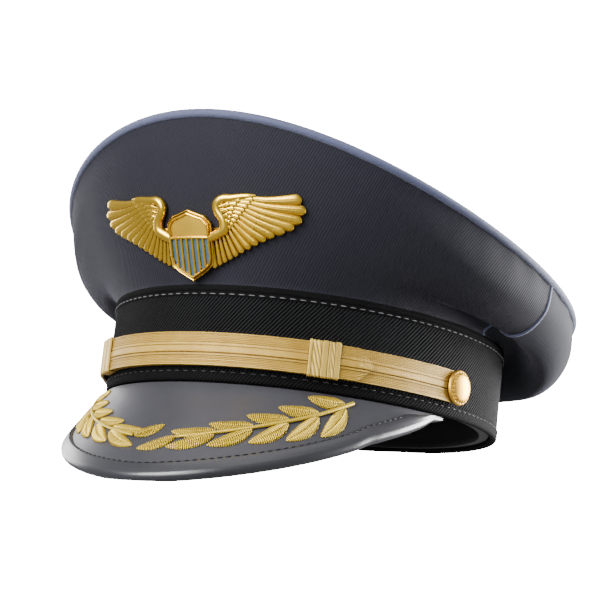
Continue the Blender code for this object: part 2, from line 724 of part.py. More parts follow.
def build_button(word, side):
    """A domed button on a shank, with the washer and clip that hold it inside the band."""
    angle = side * BUTTON_ANGLE
    axis = outward(angle)
    seat = UNDER_IN + STRAP_WALL + GAP
    root = point(angle, 0.0, STRAP_HEIGHT)
    end = SWEAT_OUT + 2.0 * GAP
    dome = [(0.0, seat + BUTTON_EDGE + BUTTON_DOME)]
    for turn in (70.0, 50.0, 30.0, 12.0, 0.0):
        dome.append((BUTTON_RADIUS * math.cos(math.radians(turn)),
                     seat + BUTTON_EDGE + BUTTON_DOME * math.sin(math.radians(turn))))
    dome += [(0.94 * BUTTON_RADIUS, seat), (SHANK_RADIUS, seat), (SHANK_RADIUS, end), (0.0, end)]
    make_turned("button_" + word, dome, 24, "gilt", root, axis)
    bore = SHANK_RADIUS + GAP
    start = FRAME_IN - GAP
    for node, radius, top, wall in (("washer", WASHER_RADIUS, start, WASHER_WALL),
                                    ("clip", CLIP_RADIUS, start - WASHER_WALL - GAP, CLIP_WALL)):
        ring = [(bore, top), (radius, top), (radius, top - wall), (bore, top - wall)]
        make_turned("button_" + node + "_" + word, ring, 16, "steel", root, axis)


# ---- badge -----------------------------------------------------------------------------

def badge_share(height):
    """Share of the front wall's rise for a height above the band's top."""
    return height / (CROWN_RISE[0] + CROWN_RISE[1] + CROWN_RISE[2])


def badge_section(low, high, start, wall, rows=4):
    """Outline of a plate that follows the front wall between two heights."""
    def section(angle):
        shares = badge_share(np.linspace(low(angle), high(angle), rows))
        back = [front_wall(angle, share, start) for share in shares]
        front = [front_wall(angle, share, start + wall) for share in shares[::-1]]
        return np.array(back + front)
    return section


def build_badge():
    """Wings, the enamel plate and the shield frame with its upright bars."""
    def wing_top(angle):
        share = abs(angle) / WING_SPAN
        return WING_ROOT[1] + WING_RISE * (0.68 * math.sin(min(1.0, 2.2 * share) * 0.5 * math.pi)
                                           + 0.32 * share ** 2)

    def wing_low(angle):
        share = abs(angle) / WING_SPAN
        feather = WING_FEATHER * abs(math.sin(FEATHER_COUNT * math.pi * share))
        return WING_ROOT[0] + (WING_TIP - WING_ROOT[0]) * share ** 1.6 - feather

    start = GAP
    make_band("badge_wings", arc(-WING_SPAN, WING_SPAN, 1.9), badge_section(wing_low, wing_top, start, WING_WALL),
              "bullion", False)
    half = math.degrees(SHIELD_HALF / (HALF_WIDTH + edge_offset(0.0) * 0.4))

    def shield_low(margin):
        return lambda angle: SHIELD_FOOT + margin + SHIELD_POINT * (abs(angle) / half) ** 1.9

    def shield_top(margin):
        return lambda angle: SHIELD_FOOT + SHIELD_HEIGHT - margin

    start += WING_WALL + GAP
    inner = half * (1.0 - PLATE_MARGIN / SHIELD_HALF)
    make_band("badge_enamel", arc(-inner, inner, 1.4),
              badge_section(shield_low(PLATE_MARGIN), shield_top(PLATE_MARGIN), start, PLATE_WALL), "enamel", False)
    start += PLATE_WALL + GAP
    shield = make_band("badge_shield", arc(-half, half, 1.4),
                       badge_section(shield_low(0.0), shield_top(0.0), start, SHIELD_FACE), "bullion", False)
    cut_with(shield, bar_cutter())
    return shield


def bar_cutter():
    """Upright slots between the shield's bars, and the field above them."""
    width = 2.0 * (SHIELD_HALF - SHIELD_BORDER)
    slot = (width - (BAR_COUNT - 1) * BAR_WIDTH) / BAR_COUNT
    chief_low = SHIELD_FOOT + SHIELD_HEIGHT - SHIELD_CHIEF
    boxes = [(0.0, width, chief_low + 0.5 * SHIELD_BORDER, SHIELD_FOOT + SHIELD_HEIGHT - SHIELD_BORDER)]
    for index in range(BAR_COUNT):
        centre = -0.5 * width + 0.5 * slot + index * (slot + BAR_WIDTH)
        reach = (abs(centre) + 0.5 * slot) / SHIELD_HALF
        low = SHIELD_FOOT + 1.4 * SHIELD_BORDER + SHIELD_POINT * reach ** 1.9
        boxes.append((centre, slot, low, chief_low - 0.5 * SHIELD_BORDER))
    points = []
    faces = []
    for centre, wide, low, high in boxes:
        base = len(points)
        for x in (centre - 0.5 * wide, centre + 0.5 * wide):
            for height in (low, high):
                for lift in (-0.5 * MM, 9.0 * MM):
                    offset, rise = front_wall(0.0, badge_share(height), lift)
                    points.append((x, -(HALF_LENGTH + offset), rise))
        for face in ((0, 1, 3, 2), (4, 6, 7, 5), (0, 4, 5, 1), (2, 3, 7, 6), (0, 2, 6, 4), (1, 5, 7, 3)):
            faces.append(tuple(base + index for index in face))
    cutter = make_piece("bar_cutter", points, faces, "steel")
    hide_cutter(cutter)
    return cutter


def build_badge_posts(front, stay):
    """Two posts through the front of the crown, each with its nut behind the board."""
    share = float(badge_share(POST_HEIGHT))
    for side, word in ((1, "left"), (-1, "right")):
        angle = side * POST_ANGLE
        root = point(angle, *[float(value) for value in front_wall(angle, share)])
        tip = point(angle, *[float(value) for value in front_wall(angle, share, 10.0 * MM)])
        axis = (tip - root).normalized()
        back = CLOTH_WALL + STAY_GAP + STAY_WALL + 2.0 * GAP
        end = -(back + NUT_WALL + 1.0 * MM)
        post = [(0.0, 0.0), (POST_RADIUS, 0.0), (POST_RADIUS, end), (0.0, end)]
        make_turned("badge_post_" + word, post, 12, "gilt", root, axis)
        bore = POST_RADIUS + GAP
        nut = [(bore, -back), (NUT_RADIUS, -back), (NUT_RADIUS, -back - NUT_WALL), (bore, -back - NUT_WALL)]
        make_turned("badge_nut_" + word, nut, 12, "gilt", root, axis)
        cutter = make_cutter("post_cutter_" + word, POST_RADIUS + GAP, 8.0 * MM, root, axis)
        cut_with(front, cutter)
        cut_with(stay, cutter)


# ---- standing on the floor -------------------------------------------------------------

def stand_pose():
    """Tip and height that rest the visor rim and the back of the hem on the floor."""
    reach = float(sheet_reach(0.0)) + 0.2 * MM
    lift = GAP + RIM_WALL - RIM_RADIUS
    offset, rim_z = visor_place(0.0, reach, lift)
    rim_y = -(HALF_LENGTH + offset)
    lip = 0.35 * (COVER_WALL + BINDING_PROUD)
    hem_y = HALF_LENGTH + BINDING_PROUD - lip
    across = hem_y - rim_y
    rise = -rim_z
    balance = RIM_RADIUS - RIM_SETTLE + HEM_SETTLE
    length = math.hypot(across, rise)
    tip = math.asin(rise / length) + math.asin(balance / length)
    floor = -hem_y * math.sin(tip) + HEM_SETTLE
    return tip, floor


def flatten(piece, tip, floor):
    """Cut a piece flat where it rests on the floor."""
    normal = Vector((0.0, -math.sin(tip), math.cos(tip)))
    work = bmesh.new()
    work.from_mesh(piece.data)
    everything = list(work.verts) + list(work.edges) + list(work.faces)
    bmesh.ops.bisect_plane(work, geom=everything, plane_co=normal * floor, plane_no=normal,
                           clear_inner=True, dist=1e-7)
    open_edges = [edge for edge in work.edges if edge.is_boundary]
    bmesh.ops.holes_fill(work, edges=open_edges, sides=0)
    bmesh.ops.recalc_face_normals(work, faces=work.faces)
    work.to_mesh(piece.data)
    work.free()


def settle(stand, tip, floor):
    """Tip the frame and put the middle of the whole cap over the origin."""
    stand.rotation_euler = (-tip, 0.0, 0.0)
    bpy.context.view_layer.update()
    depths = []
    for item in stand.children:
        if not item.hide_render:
            depths += [(item.matrix_world @ corner.co).y for corner in item.data.vertices]
    stand.location = (0.0, -0.5 * (min(depths) + max(depths)), -floor)
    bpy.context.view_layer.update()


def build_cap():
    """Build every piece, then stand the cap up."""
    clear_scene()
    stand = bpy.data.objects.new("cap_stand", None)
    bpy.context.scene.collection.objects.link(stand)
    frame, cover, hem = build_band()
    rim = build_visor()
    build_spray("laurel_left", 1)
    build_spray("laurel_right", -1)
    front = build_crown_wall()
    build_crown_top()
    stay = build_front_stay()
    build_lining()
    cutters = {}
    for side, word in ((1, "left"), (-1, "right")):
        angle = side * BUTTON_ANGLE
        cutters[side] = make_cutter("shank_cutter_" + word, SHANK_RADIUS + SHANK_FIT, 8.0 * MM,
                                    point(angle, 0.0, STRAP_HEIGHT), outward(angle))
        cut_with(frame, cutters[side])
        cut_with(cover, cutters[side])
        build_button(word, side)
        build_slide("slide_" + word, side)
    build_strap(cutters)
    build_badge()
    build_badge_posts(front, stay)
    tip, floor = stand_pose()
    flatten(rim, tip, floor)
    flatten(hem, tip, floor)
    settle(stand, tip, floor)
    print("tip in degrees", round(math.degrees(tip), 3), "moved", tuple(round(v, 6) for v in stand.location))


build_cap()
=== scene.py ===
# The looks of a peaked service cap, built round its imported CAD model.
# Lengths are in mm in the cap's own frame until toWorld() stands them on the floor:
# x to the wearer's left, y to the back, z up the band's axis, the origin in the band's bottom edge.
# A place is an angle round the band (0 in front, 90 on the wearer's left), a distance out from
# the band's face and a height.
import json
import math

import bmesh
import bpy
import numpy as np
from mathutils import Matrix, Vector


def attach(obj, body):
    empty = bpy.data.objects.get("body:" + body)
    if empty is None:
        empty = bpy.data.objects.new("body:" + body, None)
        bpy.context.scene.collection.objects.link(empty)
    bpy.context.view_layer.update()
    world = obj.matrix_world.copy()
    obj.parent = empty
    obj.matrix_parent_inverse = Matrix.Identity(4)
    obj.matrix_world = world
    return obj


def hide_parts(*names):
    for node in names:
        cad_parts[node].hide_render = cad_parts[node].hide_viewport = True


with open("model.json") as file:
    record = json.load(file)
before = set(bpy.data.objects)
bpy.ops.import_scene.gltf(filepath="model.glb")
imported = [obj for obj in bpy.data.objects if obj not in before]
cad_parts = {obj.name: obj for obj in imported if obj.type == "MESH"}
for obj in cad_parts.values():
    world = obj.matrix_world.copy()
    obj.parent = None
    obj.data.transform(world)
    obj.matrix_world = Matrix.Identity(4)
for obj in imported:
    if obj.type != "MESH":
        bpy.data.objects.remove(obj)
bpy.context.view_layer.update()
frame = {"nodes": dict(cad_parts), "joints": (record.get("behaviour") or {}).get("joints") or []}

mm = 0.001
weldDistance = 2e-6   # metres

band = {"height": 42.0, "hem": 5.0, "welt": 5.2, "gap": 0.3, "wall": 1.4}


def nodePoints(name):
    # a CAD node's points, one row of x, y and z each
    mesh = frame["nodes"][name].data
    flat = np.empty(3 * len(mesh.vertices))
    mesh.vertices.foreach_get("co", flat)
    return flat.reshape(-1, 3)


# the slides travel about the band's own axis, which gives the cap's tilt
bandAxis = next(joint["axis"] for joint in frame["joints"] if joint["name"] == "slide_left_travel")
tilt = math.atan2(bandAxis[1], bandAxis[2])
stand = np.array([[1.0, 0.0, 0.0],
                  [0.0, math.cos(tilt), math.sin(tilt)],
                  [0.0, -math.sin(tilt), math.cos(tilt)]])
coverPoints = nodePoints("band_cover") @ stand / mm
coverLow, coverHigh = coverPoints.min(0), coverPoints.max(0)
halfWidth, halfLength = 0.5 * (coverHigh - coverLow)[:2]
capOrigin = 0.5 * (coverLow + coverHigh)
capOrigin[2] = coverLow[2] - band["hem"] - band["gap"]


def toWorld(points):
    # turn the cap's frame by its tilt and move it to where the CAD stands, in metres
    return (points + capOrigin) @ stand.T * mm


def place(angle, offset, height):
    # x = (half width + offset) sin angle, y = -(half length + offset) cos angle, z = height
    t = np.radians(angle)
    spots = (halfWidth + offset) * np.sin(t), -(halfLength + offset) * np.cos(t), height
    return toWorld(np.stack(np.broadcast_arrays(*spots), -1))


def smoothStep(value, low, high):
    # 0 below low, 1 above high, and 3s^2 - 2s^3 between them
    share = np.clip((value - low) / (high - low), 0.0, 1.0)
    return share * share * (3.0 - 2.0 * share)


def unit(vectors):
    # each vector divided by its length
    return vectors / np.maximum(np.linalg.norm(vectors, axis=-1, keepdims=True), 1e-12)


def threadThrough(knots, samples):
    # a curve through the knots: half of 2b + (c-a)s + (2a-5b+4c-d)s^2 + (3b-a-3c+d)s^3
    first = 2.0 * knots[..., :1, :] - knots[..., 1:2, :]
    last = 2.0 * knots[..., -1:, :] - knots[..., -2:-1, :]
    padded = np.concatenate([first, knots, last], -2)
    count = knots.shape[-2] - 1
    a, b, c, d = (padded[..., start:start + count, None, :] for start in range(4))
    s = np.linspace(0.0, 1.0, samples, endpoint=False)[:, None]
    curve = 0.5 * (2 * b + (c - a) * s + (2 * a - 5 * b + 4 * c - d) * s ** 2
                   + (3 * b - a - 3 * c + d) * s ** 3)
    curve = curve.reshape(knots.shape[:-2] + (-1, knots.shape[-1]))
    return np.concatenate([curve, knots[..., -1:, :]], -2)


def turnedLeft(vectors):
    # plane vectors (x, y) turned to (-y, x)
    return np.stack([-vectors[..., 1], vectors[..., 0]], -1)


def leftNormals(curve):
    # the unit tangent of a plane curve, turned to its left
    return unit(turnedLeft(np.gradient(curve, axis=-2)))


def runOf(points):
    # the distance along a line of points, the sum of its steps, from 0
    return np.concatenate([[0.0], np.cumsum(np.linalg.norm(np.diff(points, axis=0), axis=1))])


def newObject(name, data):
    # an object of the scene for a mesh, a lamp or a camera
    made = bpy.data.objects.new(name, data)
    bpy.context.scene.collection.objects.link(made)
    return made


def skin(points, capped=False, centre=0, uv=None):
    # a grid of points; u and v are the distances down its columns and along its rows in mm
    points = points if points.ndim == 4 else points[None]

    def run(axis):
        # the sum of the steps along one axis
        steps = np.linalg.norm(np.diff(points, axis=axis), axis=-1) / mm
        start = np.zeros_like(np.take(steps, [0], axis=axis))
        return np.concatenate([start, np.cumsum(steps, axis=axis)], axis=axis)

    if uv is None:
        along = run(1)
        uv = np.stack([along - along[:, centre:centre + 1], run(2)], -1)
    elif uv.ndim == 3:
        uv = uv[None]
    return points, uv, capped


def cornersOf(grid):
    # the four corners of each cell of a grid
    return np.stack([grid[:, :-1, :-1], grid[:, :-1, 1:], grid[:, 1:, 1:], grid[:, 1:, :-1]], 3)


def makePiece(name, skins, material, stands=(), body="cap", sharp=40.0):
    # every grid's cells become faces, turned so that its enclosed volume is positive, and welded
    allPoints, faces, loopUv = [], [], []
    base = 0
    for points, uv, capped in skins:
        count, rows, columns = points.shape[:3]
        index = np.arange(count * rows * columns).reshape(count, rows, columns)
        quads = cornersOf(index).reshape(count, -1, 4)
        quadUv = cornersOf(uv).reshape(count, -1, 4, 2)
        near = (points - points.mean((1, 2), keepdims=True)).reshape(-1, 3)
        corner = near[quads]
        volume = np.zeros(count)
        for i in (1, 2):
            sides = np.cross(corner[:, :, i], corner[:, :, i + 1])
            volume += np.einsum("kni,kni->k", corner[:, :, 0], sides)
        ends = []
        if capped:
            ends = [index[:, 0, :-1][:, ::-1], index[:, -1, :-1]]
            for end in ends:
                fan = near[end]
                volume += np.einsum("ki,kni->k", fan[:, 0], np.cross(fan[:, 1:-1], fan[:, 2:]))
        turned = volume < 0.0
        quads[turned] = quads[turned][:, :, ::-1]
        quadUv[turned] = quadUv[turned][:, :, ::-1]
        faces += (quads.reshape(-1, 4) + base).tolist()
        loopUv.append(quadUv.reshape(-1, 2))
        for end in ends:
            end[turned] = end[turned][:, ::-1]
            faces += (end + base).tolist()
            loopUv.append(uv.reshape(-1, 2)[end.reshape(-1)])
        allPoints.append(points.reshape(-1, 3))
        base += count * rows * columns
    mesh = bpy.data.meshes.new(name)
    mesh.from_pydata(np.concatenate(allPoints).tolist(), [], faces)
    mesh.uv_layers.new(name="surface").data.foreach_set("uv", np.concatenate(loopUv).ravel())
    work = bmesh.new()
    work.from_mesh(mesh)
    bmesh.ops.remove_doubles(work, verts=work.verts, dist=weldDistance)
    work.to_mesh(mesh)
    work.free()
    mesh.shade_smooth()
    mesh.set_sharp_from_angle(angle=math.radians(sharp))
    mesh.materials.append(material)
    piece = newObject(name, mesh)
    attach(piece, body)
    if stands:
        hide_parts(*stands)
    return piece


def closed(outline):
    # repeat the first point of each outline at its end
    return np.concatenate([outline, outline[..., :1, :]], -2)


def tube(centres, across, outward, radius, sides=12):
    # centre + radius (across cos f + outward sin f), f once round
    turns = np.linspace(0.0, 2.0 * np.pi, sides + 1)[:, None]
    ring = across[..., None, :] * np.cos(turns) + outward[..., None, :] * np.sin(turns)
    return centres[..., None, :] + np.asarray(radius)[..., None] * ring * mm


def ridge(phase, power=0.6):
    # one rounded rib for each whole number of phase, |sin| to a power
    return np.abs(np.sin(np.pi * phase)) ** power


def evenSteps(path, low, high, pitch):
    # the path's parameters at equal distances of about pitch mm
    fine = np.linspace(low, high, 2000)
    run = runOf(path(fine)) / mm
    count = int(run[-1] / pitch)
    return np.interp(np.arange(count + 1) * run[-1] / count, run, fine)


def stitches(path, low, high, length, pitch, radius, rise=0.8):
    # a row of threads: each bows up by rise radii as sin(pi s) and thins to nothing at its ends;
    # path(parameter, lift) gives points at a lift in mm
    marks = evenSteps(lambda p: path(p, 0.0), low, high, pitch)
    starts = marks[:-1, None]
    ends = starts + (marks[1:, None] - starts) * length / pitch
    share = np.array([0.0, 0.12, 0.4, 0.6, 0.88, 1.0])
    bow = np.sin(np.pi * share)
    spots = starts + (ends - starts) * share
    centres = path(spots, radius * (rise * bow ** 0.5 - 0.3))
    outward = unit(path(spots, 1.0) - path(spots, 0.0))
    along = unit(centres[:, -1:] - centres[:, :1])
    across = unit(np.cross(along, outward))
    thin = np.broadcast_to(radius * bow[:, None] ** 0.35, spots.shape + (1,))
    return skin(tube(centres, across, outward, thin, 6))


def tint(code):
    # an sRGB hex colour as linear red, green, blue and 1
    parts = [int(code[start:start + 2], 16) / 255.0 for start in (0, 2, 4)]
    return [p / 12.92 if p <= 0.04045 else ((p + 0.055) / 1.055) ** 2.4 for p in parts] + [1.0]


def addNode(tree, kind, inputs=None, **settings):
    # one node with its settings, its values and the sockets linked into it
    new = tree.nodes.new("ShaderNode" + kind)
    for key, value in settings.items():
        setattr(new, key, value)
    for key, value in (inputs or {}).items():
        if isinstance(value, bpy.types.NodeSocket):
            tree.links.new(value, new.inputs[key])
        else:
            new.inputs[key].default_value = value
    return new


def startMaterial(name, **shaderValues):
    # a material whose constants are set on its shader's sockets
    material = bpy.data.materials.new(name)
    material.use_nodes = True
    tree = material.node_tree
    shader = tree.nodes["Principled BSDF"]
    for key, value in shaderValues.items():
        shader.inputs[key.replace("_", " ")].default_value = value
    return material, tree, shader


def noiseOf(tree, coordinates, scale, detail):
    # cloudy noise; a patch is about 1 / scale of a coordinate's unit
    return addNode(tree, "TexNoise", {"Vector": coordinates, "Scale": scale, "Detail": detail}).outputs[0]


def productOf(tree, first, second, operation="MULTIPLY", third=0.0):
    # first times second, plus the third where the operation is MULTIPLY_ADD
    return addNode(tree, "Math", {0: first, 1: second, 2: third}, operation=operation).outputs[0]


def raiseSurface(tree, shader, height, strength, depth):
    # raised by depth mm where the height is 1
    bump = addNode(tree, "Bump", {"Height": height, "Strength": strength, "Distance": depth * mm})
    tree.links.new(bump.outputs[0], shader.inputs["Normal"])


def wearGloss(tree, shader, noise, less, more):
    # the roughness runs from less below its own value to more above it, as the noise does
    rough = shader.inputs["Roughness"].default_value
    gloss = addNode(tree, "MapRange", {0: noise, 3: rough - less, 4: rough + more})
    tree.links.new(gloss.outputs[0], shader.inputs["Roughness"])


def linesOf(tree, pitch, degrees, coordinates, distortion=0.0):
    # even lines, pitch mm apart, leaning at so many degrees; a wave repeats each pi / (10 scale)
    turned = addNode(tree, "Mapping", {"Vector": coordinates,
                                       "Rotation": (0.0, 0.0, math.radians(90.0 - degrees))})
    return addNode(tree, "TexWave", {"Vector": turned.outputs[0], "Scale": math.pi / (10.0 * pitch),
                                     "Distortion": distortion, "Detail": 1.0},
                   bands_direction="X", wave_profile="SIN").outputs["Fac"]


def blendOf(tree, share, first, second):
    # the two colours mixed by a share
    parts = {0: share}
    for key, value in ((6, first), (7, second)):
        parts[key] = tint(value) if isinstance(value, str) else value
    return addNode(tree, "Mix", parts, data_type="RGBA").outputs[2]


def paintedCornerShade(tree, colour, paintedShade, reach):
    # the colour, darkened to a painted shade in corners within reach mm, where shadow would fall
    corners = addNode(tree, "AmbientOcclusion", {"Distance": reach * mm}, samples=8).outputs["AO"]
    clear = addNode(tree, "MapRange", {0: corners, 1: 0.3, 2: 0.9}).outputs[0]
    return blendOf(tree, clear, paintedShade, colour)


def weaveMaterial(name, dark, light, pitch, degrees, crossPitch=0.0, depth=0.12, patch=30.0,
                  paintedShade=None, **shaderValues):
    # cloth: lines of thread raised by depth mm, uneven dye over patches of so many mm, and painted shade in
    # its corners when a shade colour is given
    material, tree, shader = startMaterial(name, **shaderValues)
    surface = addNode(tree, "UVMap", uv_map="surface").outputs[0]
    threads = linesOf(tree, pitch, degrees, surface, 0.4)
    if crossPitch:
        threads = productOf(tree, threads, linesOf(tree, crossPitch, degrees - 90.0, surface, 0.4))
    solid = addNode(tree, "TexCoord").outputs["Object"]
    dye = noiseOf(tree, solid, 1000.0 / patch, 3.0)
    fuzz = noiseOf(tree, surface, 2.2, 2.0)
    share = productOf(tree, productOf(tree, threads, fuzz), 1.3, "MULTIPLY_ADD")
    colour = blendOf(tree, 0.35, blendOf(tree, share, dark, light), blendOf(tree, dye, dark, light))
    # painted shade: the colour darkened in corners and grooves
    if paintedShade:
        colour = paintedCornerShade(tree, colour, paintedShade, 0.8)
    tree.links.new(colour, shader.inputs["Base Color"])
    raiseSurface(tree, shader, productOf(tree, fuzz, 0.35, "MULTIPLY_ADD", threads), 0.7, depth)
    return material


def leatherMaterial(name, dark, light, grain, depth=0.05, **shaderValues):
    # finished leather: small cells of grain, faint scuffs in its gloss and colour
    material, tree, shader = startMaterial(name, **shaderValues)
    solid = addNode(tree, "TexCoord").outputs["Object"]
    cells = addNode(tree, "TexVoronoi", {"Vector": solid, "Scale": 1000.0 / grain}).outputs["Distance"]
    scuffs = noiseOf(tree, solid, 45.0, 5.0)
    tree.links.new(blendOf(tree, scuffs, dark, light), shader.inputs["Base Color"])
    wearGloss(tree, shader, scuffs, 0.06, 0.08)
    raiseSurface(tree, shader, cells, 0.35, depth)
    return material


def metalMaterial(name, colour, paintedShade, grain=0.4, depth=0.03, reach=1.2, **shaderValues):
    # plated metal: painted shade in its corners, fine pits and uneven polish
    material, tree, shader = startMaterial(name, Metallic=1.0, **shaderValues)
    solid = addNode(tree, "TexCoord").outputs["Object"]
    tree.links.new(paintedCornerShade(tree, tint(colour), paintedShade, reach), shader.inputs["Base Color"])
    wearGloss(tree, shader, noiseOf(tree, solid, 120.0, 2.0), 0.05, 0.1)
    raiseSurface(tree, shader, noiseOf(tree, solid, 1000.0 / grain, 3.0), 0.3, depth)
    return material


# wool twill: matt, a fine steep diagonal line, a soft pale bloom at its edges
crownCloth = weaveMaterial("wool_twill", "111119", "22222c", 1.15, 58.0, depth=0.16, Roughness=0.8,
                           Specular_IOR_Level=0.25, Sheen_Weight=0.2, Sheen_Roughness=0.3,
                           Sheen_Tint=tint("a5a3b4"))
# rayon cord cloth over piping: blue-grey, slightly brighter on its ribs, with painted shade between them
pipingCloth = weaveMaterial("piping_rayon", "33384f", "5c6286", 0.7, 62.0, depth=0.08, Roughness=0.7,
                            Sheen_Weight=0.25, paintedShade="1b1e30")
# mohair braid: black, with painted shade in its grooves and a painted grey sheen on each rib; the ribs are
# 1.8 mm apart
bandBraid = weaveMaterial("mohair_braid", "000000", "232324", 1.8, 90.0, depth=0.05, Roughness=0.75,
                          Specular_IOR_Level=0.08, paintedShade="000000")
# binding braid: the same yarn, tighter and a little greyer, with the same painted sheen on its ribs
bindingBraid = weaveMaterial("binding_braid", "020202", "171718", 1.8, 90.0, depth=0.05, Roughness=0.8,
                             Specular_IOR_Level=0.06)
# polyester sewing thread: grey, twisted
greyThread = weaveMaterial("grey_thread", "46464a", "76767b", 0.35, 60.0, depth=0.05, Roughness=0.6)
# the grey thread darkened for the hem's row: painted shade
shadedGreyThread = weaveMaterial("shaded_grey_thread", "1c1c1e", "3e3e42", 0.35, 60.0, depth=0.05, Roughness=0.6,
                          Specular_IOR_Level=0.3)
darkThread = weaveMaterial("dark_thread", "060608", "1c1c1f", 0.35, 60.0, depth=0.05, Roughness=0.55,
                           Specular_IOR_Level=0.3)
# glazed calf leather: grey, satin
visorLeather = leatherMaterial("glazed_calf", "2a2a2f", "36363c", 0.55, 0.05, Roughness=0.4,
                               Specular_IOR_Level=0.5)
# polished leather binding: tighter and glossier than the sheet
rimLeather = leatherMaterial("polished_binding_leather", "1f1f23", "2b2b30", 0.5, 0.02, Roughness=0.34,
                             Coat_Weight=0.45, Coat_Roughness=0.26)
sweatLeather = leatherMaterial("sweatband_leather", "0c0b0b", "1a1716", 0.8, 0.08, Roughness=0.5)
# rayon satin: dark, smooth, with a narrow sheen
liningSatin = weaveMaterial("rayon_satin", "14141c", "262633", 0.4, 90.0, depth=0.02, Roughness=0.35,
                            Sheen_Weight=0.1)
# gold bullion embroidery: metal-wrapped thread, with painted shade in its grooves
bullionThread = weaveMaterial("gold_bullion_thread", "9a700c", "ffe548", 0.9, 90.0, depth=0.12,
                              Metallic=0.4, Roughness=0.36, patch=6.0, paintedShade="4c2f04")
# gold braid: pale metallised yarn, flatter and paler than bullion, with painted shade in its grooves
strapBraid = weaveMaterial("gold_braid", "8f6616", "ffda60", 0.9, 90.0, crossPitch=0.6, depth=0.14,
                           Metallic=0.25, Roughness=0.42, patch=8.0, paintedShade="5c4012")
# the slides' braid, with painted shade in its grooves
slideBraid = weaveMaterial("gold_slide_braid", "946a16", "ffdf6e", 0.7, 70.0, depth=0.1,
                           Metallic=0.25, Roughness=0.4, patch=8.0, paintedShade="503a10")
# gilt die-struck brass; each metal's second colour is a painted shade for its corners
badgeGilt = metalMaterial("gilt_brass", "ffd044", "3c2002", 0.5, 0.02, 1.9, Roughness=0.25)
stippledGilt = metalMaterial("stippled_gilt", "ffce44", "6a420c", 0.35, 0.12, Roughness=0.36)
buttonGilt = metalMaterial("button_gilt", "f4be4c", "5c380c", 0.6, 0.02, 0.8, Roughness=0.42)
fixingBrass = metalMaterial("turned_brass", "c09a4a", "5f4518", 0.5, 0.03, Roughness=0.35)
springSteel = metalMaterial("spring_steel", "8d9094", "3a3c40", 0.6, 0.03, Roughness=0.35)
# vitreous enamel: blue-grey glass under a clear gloss
badgeEnamel = leatherMaterial("vitreous_enamel", "2f4759", "44606f", 0.9, 0.01, Roughness=0.15,
                              Coat_Weight=0.6, Coat_Roughness=0.08)
# pressed fibreboard: matt, flecked
fibreBoard = leatherMaterial("pressed_fibreboard", "2a2622", "3d3731", 0.7, 0.06, Roughness=0.85)
# clear PVC film
clearFilm = leatherMaterial("clear_film", "b9bec2", "c8cdd0", 3.0, 0.05, Roughness=0.14,
                            Transmission_Weight=0.85, IOR=1.5)
print("materials made")

# camera and lights first, so the framing never depends on the pieces

view = {"place": (0.45800, -0.81596, 0.05970),    # metres
        "right": (0.871819, 0.489758, 0.008271),
        "back": (0.489817, -0.871560, -0.021505),
        "lens": 119.498, "shift": (-0.0064707, -0.0126692)}


def makeCamera():
    # the camera's axes: back, right made square to it, and up = back x right
    back = Vector(view["back"]).normalized()
    right = Vector(view["right"])
    right = (right - back * right.dot(back)).normalized()
    lens = bpy.data.cameras.new("studio_camera")
    lens.lens = view["lens"]
    lens.sensor_width = 36.0
    lens.shift_x, lens.shift_y = view["shift"]
    lens.clip_start = 0.01
    camera = newObject("studio_camera", lens)
    camera.matrix_world = Matrix.Translation(view["place"]) @ Matrix(
        (right, back.cross(right), back)).transposed().to_4x4()
    bpy.context.scene.camera = camera


studio = {"world": 0.42,
          # name: (place, size in metres, watts)
          "lamps": {"key": ((-0.45, -1.8, 1.25), 1.2, 105.0),
                    "front": ((0.1, -1.9, 0.5), 0.9, 26.0),
                    "left": ((-1.7, 0.6, 0.35), 1.0, 22.0),
                    "top": ((0.1, 0.2, 1.7), 1.6, 12.0),
                    "low_back": ((1.05, 1.35, 0.05), 1.2, 165.0)},
          "aim": (0.0, 0.0, 0.08), "floor": 6.0, "paper": 30.0}


def makeStudio():
    # an even white air, square lamps that face the cap, and a sweep of glowing paper
    world = bpy.data.worlds.new("studio_air")
    world.use_nodes = True
    background = world.node_tree.nodes["Background"]
    background.inputs["Color"].default_value = tint("f4f5f8")
    background.inputs["Strength"].default_value = studio["world"]
    bpy.context.scene.world = world
    for name, (spot, size, watts) in studio["lamps"].items():
        lamp = bpy.data.lights.new(name, "AREA")
        lamp.size = size
        lamp.energy = watts
        holder = newObject(name, lamp)
        holder.location = spot
        aim = Vector(spot) - Vector(studio["aim"])
        holder.rotation_euler = aim.to_track_quat("Z", "Y").to_euler()
    # the paper: radius floor sin(90 s) and height floor (1 - cos(90 s))^3, s from 0 to 1
    share = np.concatenate([[0.0], np.linspace(0.02, 1.0, 40)])[:, None]
    turn = np.linspace(0.0, 2.0 * np.pi, 97)[None]
    radius = studio["floor"] * np.sin(0.5 * np.pi * share)
    height = studio["floor"] * (1.0 - np.cos(0.5 * np.pi * share)) ** 3 + 0.0 * turn
    points = np.stack([radius * np.cos(turn), radius * np.sin(turn), height], -1)
    mesh = bpy.data.meshes.new("paper_sweep")
    index = np.arange(points[..., 0].size).reshape(1, *points.shape[:2])
    quads = cornersOf(index).reshape(-1, 4)[:, ::-1]
    mesh.from_pydata(points.reshape(-1, 3).tolist(), [], quads.tolist())
    paper, tree, shader = startMaterial("seamless_paper", Roughness=0.9)
    grain = addNode(tree, "TexNoise", {"Scale": 400.0})
    tree.links.new(blendOf(tree, grain.outputs[0], "f6f6f6", "ffffff"), shader.inputs["Base Color"])
    shader.inputs["Emission Color"].default_value = (1.0, 1.0, 1.0, 1.0)
    shader.inputs["Emission Strength"].default_value = studio["paper"]
    mesh.materials.append(paper)
    mesh.shade_smooth()
    sweep = newObject("paper_sweep", mesh)
    for ray in ("diffuse", "glossy", "transmission", "shadow"):
        setattr(sweep, "visible_" + ray, False)


makeCamera()
makeStudio()
print("camera and studio ready")

# head band

braid = {"ribs": 330, "lean": 48.0, "depth": 0.5, "samples": 6, "line": 1.8}


